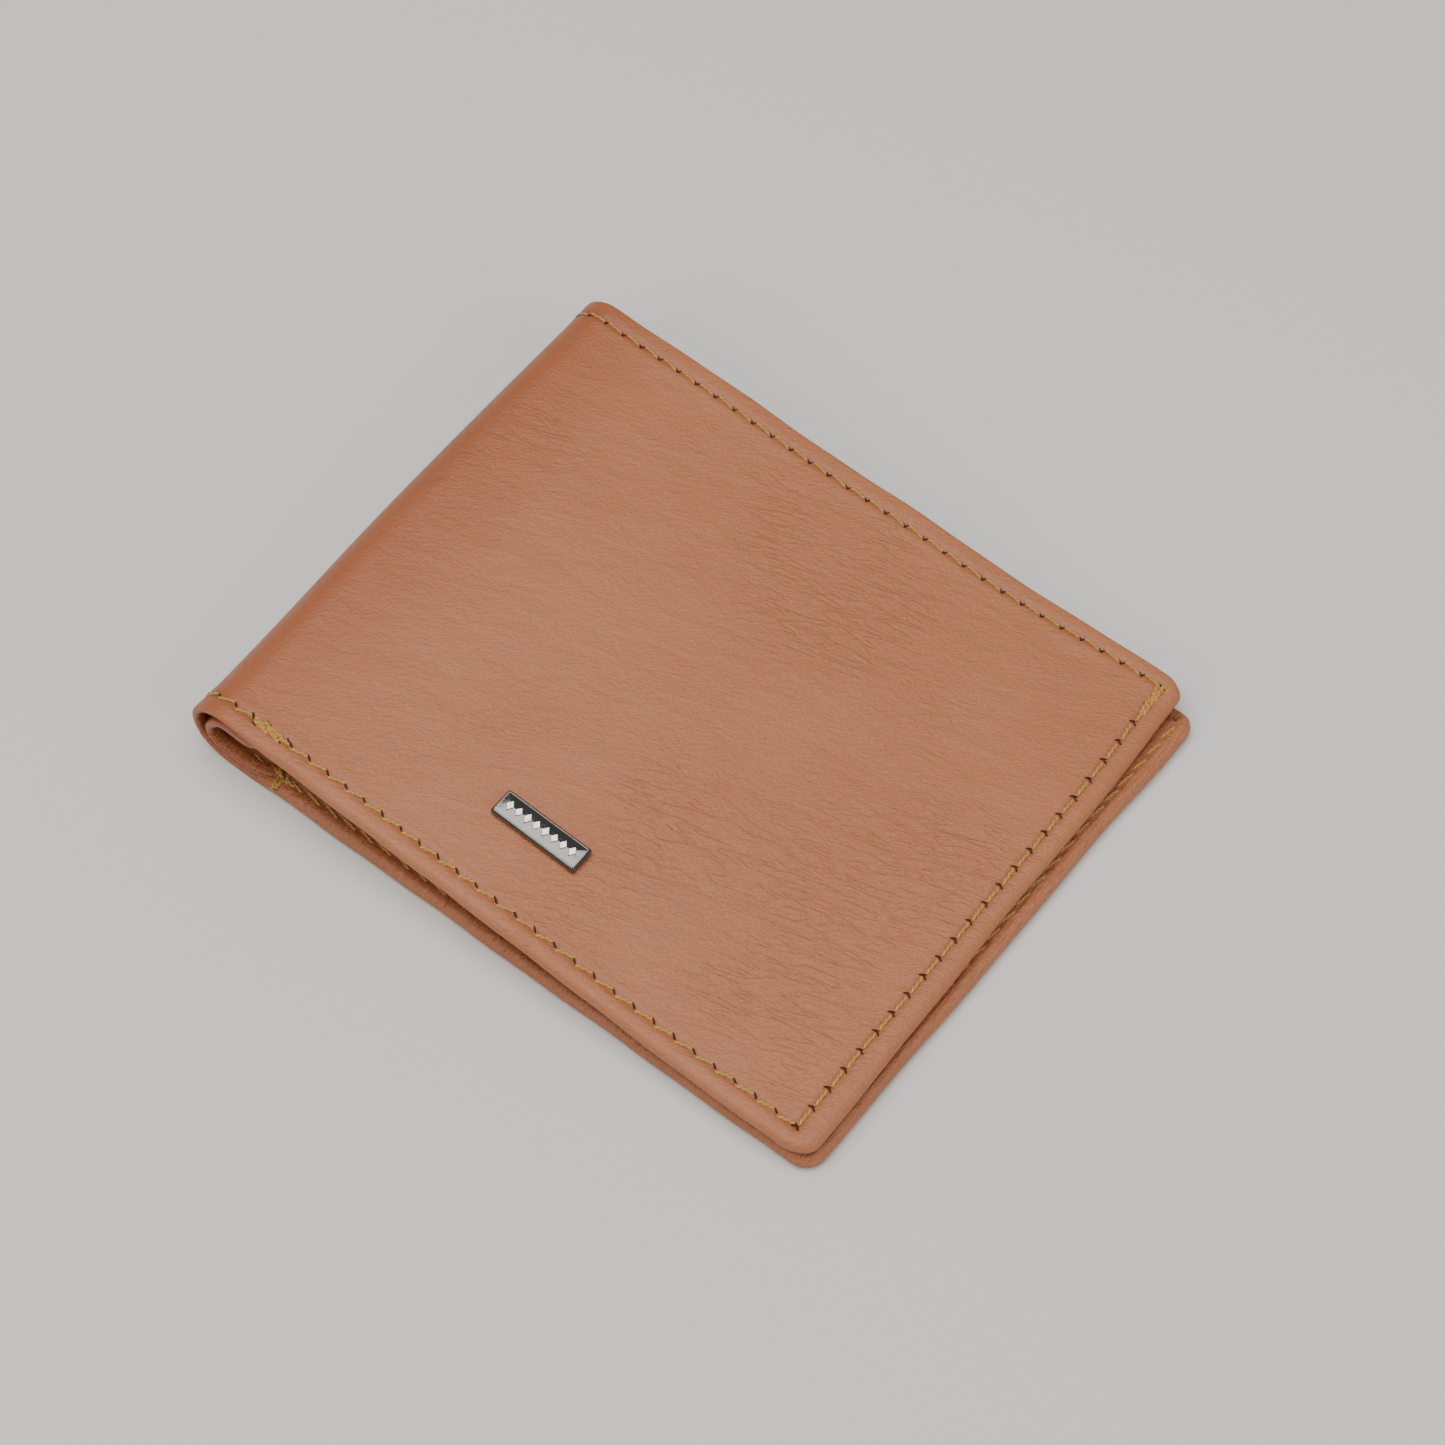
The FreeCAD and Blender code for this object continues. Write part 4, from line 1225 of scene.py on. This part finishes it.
def slab(name, half, x, y, top, bottom, finish, inside=1.0, shade_lines=None):
    """A closed panel over stations x and y, its inner face at depth top and outer at bottom."""
    grid_x, grid_y = np.meshgrid(x, y, indexing="ij")
    points, faces = [], []
    for depth in (top, bottom):
        first = sum(len(p) for p in points)
        level = depth(grid_x, grid_y) if callable(depth) else depth + 0 * grid_x
        points.append(placed(half, grid_x, grid_y, level).reshape(-1, 3))
        faces += grid_faces(*grid_x.shape, first).tolist()
    numbers = np.arange(grid_x.size).reshape(grid_x.shape)
    edge = np.concatenate([numbers[:-1, 0], numbers[-1, :-1], numbers[:0:-1, -1], numbers[0, :0:-1]])
    ahead = np.roll(edge, -1)
    below = grid_x.size
    faces += np.stack([edge, ahead, ahead + below, edge + below], -1).tolist()
    # Lines of painted shade, where the caller gives them
    seam = shade_lines(grid_x, grid_y) if shade_lines else 0 * grid_x
    return make_piece(name, np.concatenate(points), faces, finish,
                      {"seam": np.tile(seam.ravel(), 2),
                       "inside": np.full(2 * grid_x.size, inside)}, sharp=50)


def rounded_edge(away, radius):
    """How far a turned edge falls short of its full height, at a distance in from the edge."""
    short = np.clip(radius - away, 0, radius)
    return radius - np.sqrt(np.maximum(radius ** 2 - short ** 2, 0))


def pocket_mouth(number):
    """y of a pocket's mouth, counted from 0."""
    return HALF_HEIGHT - size("mouth") - number * size("step")


def wall_face(half, x):
    """Depth of the inner wall's visible face."""
    return wall_front(half, x) + size("wall")


def pocket_face(half, number, x, y):
    """Depth of a pocket's face: high at its mouth, settling below it."""
    base = wall_face(half, x) + 0.10
    below = pocket_mouth(number) - y
    full = base + size("lift") * (0.75 + 0.62 * number)
    settle = 0.16 * ramp(below, 3, size("step")) * (1 if number < 2 else 0.6)
    crease = 0.18 * np.exp(-((below - 1.7) / 0.25) ** 2)
    tuck = 0.45 * (1 - ramp(half_length(half) - x, 7.0, 11)) + \
        0.40 * (1 - ramp(HALF_HEIGHT + y, 7.0, 11))
    side = rounded_edge(x - size("start"), 0.24)
    waves = 0.03 * np.sin(x / 6.7 + number) * np.sin(y / 5.3 + 2 * number)
    return full - settle - crease - rounded_edge(below, 0.22) - side \
        - np.minimum(tuck, 0.5) * (0.45 + 0.3 * number) + waves


def pocket_low(half, number, x, y):
    """Depth of a pocket's underside: just clear of the backing, or of the pocket behind."""
    if number == 0:
        return wall_face(half, x) + 0.09
    return pocket_top(half, number - 1, x, y) + 0.02


def pocket_top(half, number, x, y):
    """Depth of a pocket's face, which stays 0.05 or more above its underside."""
    return np.maximum(pocket_face(half, number, x, y), pocket_low(half, number, x, y) + 0.05)


def make_pocket(half, number):
    """One card pocket with a turned, creased mouth."""
    mouth, low = pocket_mouth(number), -(HALF_HEIGHT - POCKET_INSET)
    near = np.array([0, 0.03, 0.08, 0.15, 0.25, 0.6, 1.1, 1.35, 1.55, 1.7, 1.85, 2.05, 2.4, 3.2])
    y = np.concatenate([mouth - near, np.linspace(mouth - 4.6, low, 24)])
    start, end = size("start"), half_length(half) - POCKET_INSET
    x = np.concatenate([start + near[:6], np.linspace(start + 1.5, end, 40)])
    name = f"{half}_card_pocket_leather_{number + 1}"

    def shade_lines(a, b):
        """Darker edge finish and painted shade at the turned mouth, painted shade in its crease."""
        return 2.4 * np.exp(-((mouth - b) / 0.45) ** 2) + 2 * np.exp(-((mouth - b - 1.7) / 0.3) ** 2)

    piece = slab(name, half, x, y, lambda a, b: pocket_top(half, number, a, b),
                 lambda a, b: pocket_low(half, number, a, b), inner_leather(), 0.35, shade_lines)
    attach(piece, half)
    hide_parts(f"{half}_card_pocket_{number + 1}")


def make_sheet(name, half, inset, low, high, finish, slot, *nodes, corner=None):
    """A thin sheet between two layers of a half, its corner at the spine and the top edge."""
    near, top = corner or (2.0, HALF_HEIGHT - inset)
    x = np.linspace(near, half_length(half) - inset, 36)
    y = np.linspace(-(HALF_HEIGHT - inset), top, 28)
    piece = slab(name, half, x, y, high, low, finish)
    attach(piece, half)
    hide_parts(*nodes)
    return piece, (x[-1] - x[0], y[-1] - y[0])


def cover_lining_cloth():
    return woven_material("brown_plain_weave", "lining", 1.1, 0.8)


def make_linings(half):
    """The stiffener, the lining of the note compartment and the backing of the pockets."""
    depth = size("leather")
    board = woven_material("fibre_board", "board", 2.4, 0.9)
    make_sheet(half + "_stiffener_board", half, BOARD_INSET, depth + 0.02, depth + 0.18, board,
               "stiffener_board", half + "_stiffener")
    lining, flat = make_sheet(half + "_lining_cloth", half, LINING_INSET, depth + 0.2, depth + 0.28,
                              cover_lining_cloth(), "lining_fabric", half + "_cover_lining")
    backing, flat = make_sheet(half + "_pocket_backing_cloth", half, BACKING_INSET,
                               lambda a, b: wall_face(half, a) + 0.02,
                               lambda a, b: wall_face(half, a) + 0.06, cover_lining_cloth(),
                               "lining_fabric", half + "_pocket_backing",
                               corner=(size("start") + 0.8, pocket_mouth(0) - 2.5))


def make_spine_linings():
    """The lining cloth round the inside of the spine, in three strips."""
    low = size("leather") + 0.12
    rows = np.linspace(LINING_INSET - HALF_HEIGHT, HALF_HEIGHT - LINING_INSET, 12)

    def loop(turn):
        y = np.concatenate([rows, rows[::-1]])
        return y, np.repeat([low, low + 0.08], len(rows)), np.ones(len(y))

    for place, (first, second, number) in BENDS.items():
        turns = np.linspace(join_angle(number), join_angle(number + 1), 12)
        piece = band_shell(f"spine_lining_cloth_{number + 1}", turns, loop, cover_lining_cloth())
        bend(piece, place)
        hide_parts(*(f"{body}_lining" for body in (first, second) if "spine" in body))


def make_threads():
    """All the stitching, one mesh for each part of the fold."""
    tree = stitch_tree()
    marks = {place: [] for place in BENDS}
    for half in HALVES:
        share_marks(marks, half, outer_stitches(half), inner_stitches(half) + tack_marks(half))
    seams = seam_settings()
    values = {"Length": size("pitch") * 0.86 / 1000, "Radius": seams.thread, "Dip": 0.00026,
              "Twists": seams.twists, "Seed": seams.seed, "Material": thread_material()}
    nodes = {"back": ["back_seam_thread", "back_tack_thread", "back_hem_thread",
                      "spine_lower_hem_thread"],
             "middle": ["spine_lower_hem_thread", "spine_upper_hem_thread"],
             "front": ["front_seam_thread", "front_tack_thread", "front_hem_thread",
                       "spine_upper_hem_thread"]}
    grow_marks("_stitches", marks, tree, values, nodes)


def make_needle_hole_shadows():
    """Dark slits as painted shadows of the pulled-open needle holes beside the stitches."""
    tree = hole_shadow_tree()
    marks = {place: [] for place in BENDS}
    for half in HALVES:
        share_marks(marks, half, needle_holes(half))
    values = {"Length": 0.00125, "Width": 0.00030, "Depth": 0.00012,
              "Seed": seam_settings().seed, "Material": hole_shadow_material()}
    grow_marks("_needle_holes", marks, tree, values)


def plate_outline(inset, steps=5):
    """The nameplate's outline with rounded corners, moved in by inset."""
    half_x, half_y = size("plate_length") / 2 - inset, size("plate_width") / 2 - inset
    radius = max(size("corner") - 0.5 * inset, 0.08)
    points = []
    for number, (sx, sy) in enumerate(((1, 1), (-1, 1), (-1, -1), (1, -1))):
        for turn in np.linspace(0, math.pi / 2, steps):
            a = turn + number * math.pi / 2
            points.append((sx * (half_x - radius) + radius * math.cos(a),
                           sy * (half_y - radius) + radius * math.sin(a)))
    return np.array(points)


def make_plate():
    """The polished nameplate with a bevelled rim."""
    height, bevel = size("height"), size("bevel")
    middle, field = 1.95, height - 0.03
    rings = [(middle, -0.2), (0.06, -0.2), (0.0, -0.1), (0.0, height - bevel - 0.02),
             (0.03, height - bevel + 0.03), (bevel * 0.9, field), (bevel, height),
             (bevel + 0.06, height), (bevel + 0.10, field),
             (bevel + 0.5, field + size("crown") * 0.4), (1.35, field + size("crown") * 0.8),
             (middle, field + size("crown"))]
    points = []
    for inset, level in rings:
        outline = plate_outline(inset)
        points.append(placed_flat(size("centre_x") + outline[:, 0], size("centre_y") + outline[:, 1],
                                  -level))
    piece = make_piece("nameplate_polished", np.concatenate(points),
                       sleeve_faces(len(points[0]), len(rings)),
                       metal_material("dark_nickel", "plate", 0.06), sharp=28)
    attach(piece, "front")
    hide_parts("nameplate")


def placed_flat(x, y, depth):
    """Points on the front half's own flat plane, where rigid pieces lie."""
    points = placed("front", x, y, depth)
    level = placed("front", x, y, depth + 1)
    inward = level - points
    return points - inward * sag("front", np.asarray(x), np.asarray(y))[..., None]


def lozenge_tree():
    """A row of raised lozenges with bevelled sides."""
    tree, given, result = node_group(
        "lozenge_row", [("Marks", "Geometry"), ("Length", "Float"), ("Width", "Float"),
                        ("Height", "Float"), ("Seed", "Int"), ("Material", "Material")],
        [("Geometry", "Geometry")], "GeometryNodeTree")
    cone = put(tree, "GeometryNodeMeshCone", {"Vertices": 4, "Side Segments": 2,
               "Radius Top": 0.40, "Radius Bottom": 0.5, "Depth": 1.0}).outputs[0]
    grow = put(tree, "ShaderNodeCombineXYZ", {"X": given.outputs["Length"],
               "Y": given.outputs["Width"], "Z": given.outputs["Height"]}).outputs[0]
    lozenge = put(tree, "GeometryNodeTransform", {"Geometry": cone, "Scale": grow}).outputs[0]
    scatter_marks(tree, given, result, lozenge, 0.0, 0.0)
    return tree


def make_relief():
    """The bright lozenges on the nameplate."""
    plate = bpy.context.scene.wallet_plate
    half_row = size("lozenge_row") / 2
    x = size("centre_x") + np.linspace(-half_row, half_row, plate.lozenges)
    marks = place_marks("front", x, size("centre_y"), 0, (1.0, 0.0), 0.0, 1.0)
    for mark, place in zip(marks, placed_flat(x, size("centre_y") + 0 * x, -size("height"))):
        mark["place"] = place
    values = {"Length": plate.lozenge_length, "Width": plate.lozenge_width,
              "Height": 2 * plate.lozenge_height, "Seed": 1,
              "Material": metal_material("bright_nickel", "relief", 0.3)}
    piece = grown("nameplate_lozenges", marks, lozenge_tree(), values)
    piece.data.shade_flat()
    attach(piece, "front")
    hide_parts("nameplate_relief")


def dress_frame():
    """The CAD pieces that stay get their own finish."""
    finish = metal_material("retainer_steel", "relief", 0.35)
    retainer = frame["nodes"]["nameplate_retainer"]
    for slot in retainer.material_slots:
        slot.material = finish


# ---- floor, light and camera ------------------------------------------------------------------

def make_floor():
    mesh = bpy.data.meshes.new("floor")
    corners = [(x * FLOOR_REACH, y * FLOOR_REACH, 0) for x, y in ((-1, -1), (1, -1), (1, 1), (-1, 1))]
    mesh.from_pydata(corners, [], [(0, 1, 2, 3)])
    mesh.materials.append(floor_material())
    floor = bpy.data.objects.new("floor", mesh)
    bpy.context.scene.collection.objects.link(floor)


def make_light(name, place, target, width, depth, power, tint):
    lamp = bpy.data.lights.new(name, "AREA")
    lamp.shape, lamp.size, lamp.size_y = "RECTANGLE", width, depth
    lamp.energy, lamp.color = power, tint
    light = bpy.data.objects.new(name, lamp)
    light.matrix_world = Matrix.Translation(place) @ \
        (Vector(place) - Vector(target)).to_track_quat("Z", "Y").to_matrix().to_4x4()
    bpy.context.scene.collection.objects.link(light)


def make_world():
    world = bpy.data.worlds.new("soft_room")
    world.use_nodes = True
    world.node_tree.nodes["Background"].inputs["Color"].default_value = ROOM_TINT
    world.node_tree.nodes["Background"].inputs["Strength"].default_value = ROOM_LIGHT
    bpy.context.scene.world = world


def make_camera():
    """Looks down at the front cover from beyond the bottom right corner."""
    azimuth, elevation, roll = (math.radians(turn) for turn in CAMERA_TURNS)
    back = Vector((math.sin(azimuth) * math.cos(elevation),
                   -math.cos(azimuth) * math.cos(elevation), math.sin(elevation)))
    across = Vector((math.cos(azimuth), math.sin(azimuth), 0))
    up = back.cross(across)
    right = math.cos(roll) * across + math.sin(roll) * up
    up = math.cos(roll) * up - math.sin(roll) * across
    place = Vector(CAMERA_TARGET) + CAMERA_DISTANCE * back
    data = bpy.data.cameras.new("camera")
    data.lens, data.sensor_width = CAMERA_LENS, 36
    data.clip_start, data.clip_end = 0.01, 20
    camera = bpy.data.objects.new("camera", data)
    camera.matrix_world = Matrix((right, up, back)).transposed().to_4x4()
    camera.matrix_world.translation = place
    bpy.context.scene.collection.objects.link(camera)
    bpy.context.scene.camera = camera


# ---- operators, panel and registration --------------------------------------------------------

class WALLET_OT_stage(bpy.types.Operator):
    """Makes the floor, the soft light and the camera"""
    bl_idname = "wallet.stage"
    bl_label = "Stage"

    def execute(self, context):
        make_floor()
        make_world()
        for name, lamp in LAMPS.items():
            make_light(name, *lamp)
        make_camera()
        return {"FINISHED"}


class WALLET_OT_covers(bpy.types.Operator):
    """Makes the outer leather of both halves and the spine"""
    bl_idname = "wallet.covers"
    bl_label = "Covers"

    def execute(self, context):
        for half in HALVES:
            make_cover(half)
        make_spine_leather()
        return {"FINISHED"}


class WALLET_OT_inner_walls(bpy.types.Operator):
    """Makes the inner wall of the note compartment"""
    bl_idname = "wallet.inner_walls"
    bl_label = "Inner walls"

    def execute(self, context):
        for half in HALVES:
            make_inner_wall(half)
        make_spine_wall()
        return {"FINISHED"}


class WALLET_OT_pockets(bpy.types.Operator):
    """Makes the card pockets on both inner faces"""
    bl_idname = "wallet.pockets"
    bl_label = "Card pockets"

    def execute(self, context):
        for half in HALVES:
            for number in range(context.scene.wallet_pockets.count):
                make_pocket(half, number)
        return {"FINISHED"}


class WALLET_OT_linings(bpy.types.Operator):
    """Makes the stiffeners, linings and backings"""
    bl_idname = "wallet.linings"
    bl_label = "Linings"

    def execute(self, context):
        for half in HALVES:
            make_linings(half)
        make_spine_linings()
        return {"FINISHED"}


class WALLET_OT_stitching(bpy.types.Operator):
    """Makes every stitch and the painted shadows of the needle holes"""
    bl_idname = "wallet.stitching"
    bl_label = "Stitching"

    def execute(self, context):
        make_threads()
        make_needle_hole_shadows()
        return {"FINISHED"}


class WALLET_OT_nameplate(bpy.types.Operator):
    """Makes the nameplate with its relief and finishes its retainer"""
    bl_idname = "wallet.nameplate"
    bl_label = "Nameplate"

    def execute(self, context):
        make_plate()
        make_relief()
        dress_frame()
        return {"FINISHED"}


OPERATORS = (WALLET_OT_stage, WALLET_OT_covers, WALLET_OT_inner_walls, WALLET_OT_pockets,
             WALLET_OT_linings, WALLET_OT_stitching, WALLET_OT_nameplate)


class WALLET_PT_panel(bpy.types.Panel):
    """Lists the wallet's sizes, colours and makers"""
    bl_idname = "WALLET_PT_panel"
    bl_label = "Bifold wallet"
    bl_space_type = "VIEW_3D"
    bl_region_type = "UI"
    bl_category = "Wallet"

    def draw(self, context):
        for operator in OPERATORS:
            self.layout.operator(operator.bl_idname)
        for group in GROUPS:
            box = self.layout.box()
            settings = getattr(context.scene, group)
            for name in settings.__annotations__:
                box.prop(settings, name)


def register():
    for group, kind in GROUPS.items():
        bpy.utils.register_class(kind)
        setattr(bpy.types.Scene, group, PointerProperty(type=kind))
    for kind in (*OPERATORS, WALLET_PT_panel):
        bpy.utils.register_class(kind)


def unregister():
    for kind in reversed((*OPERATORS, WALLET_PT_panel)):
        bpy.utils.unregister_class(kind)
    for group, kind in GROUPS.items():
        delattr(bpy.types.Scene, group)
        bpy.utils.unregister_class(kind)


def main():
    register()
    for operator in OPERATORS:
        family, name = operator.bl_idname.split(".")
        getattr(getattr(bpy.ops, family), name)()


if __name__ == "__main__":
    main()
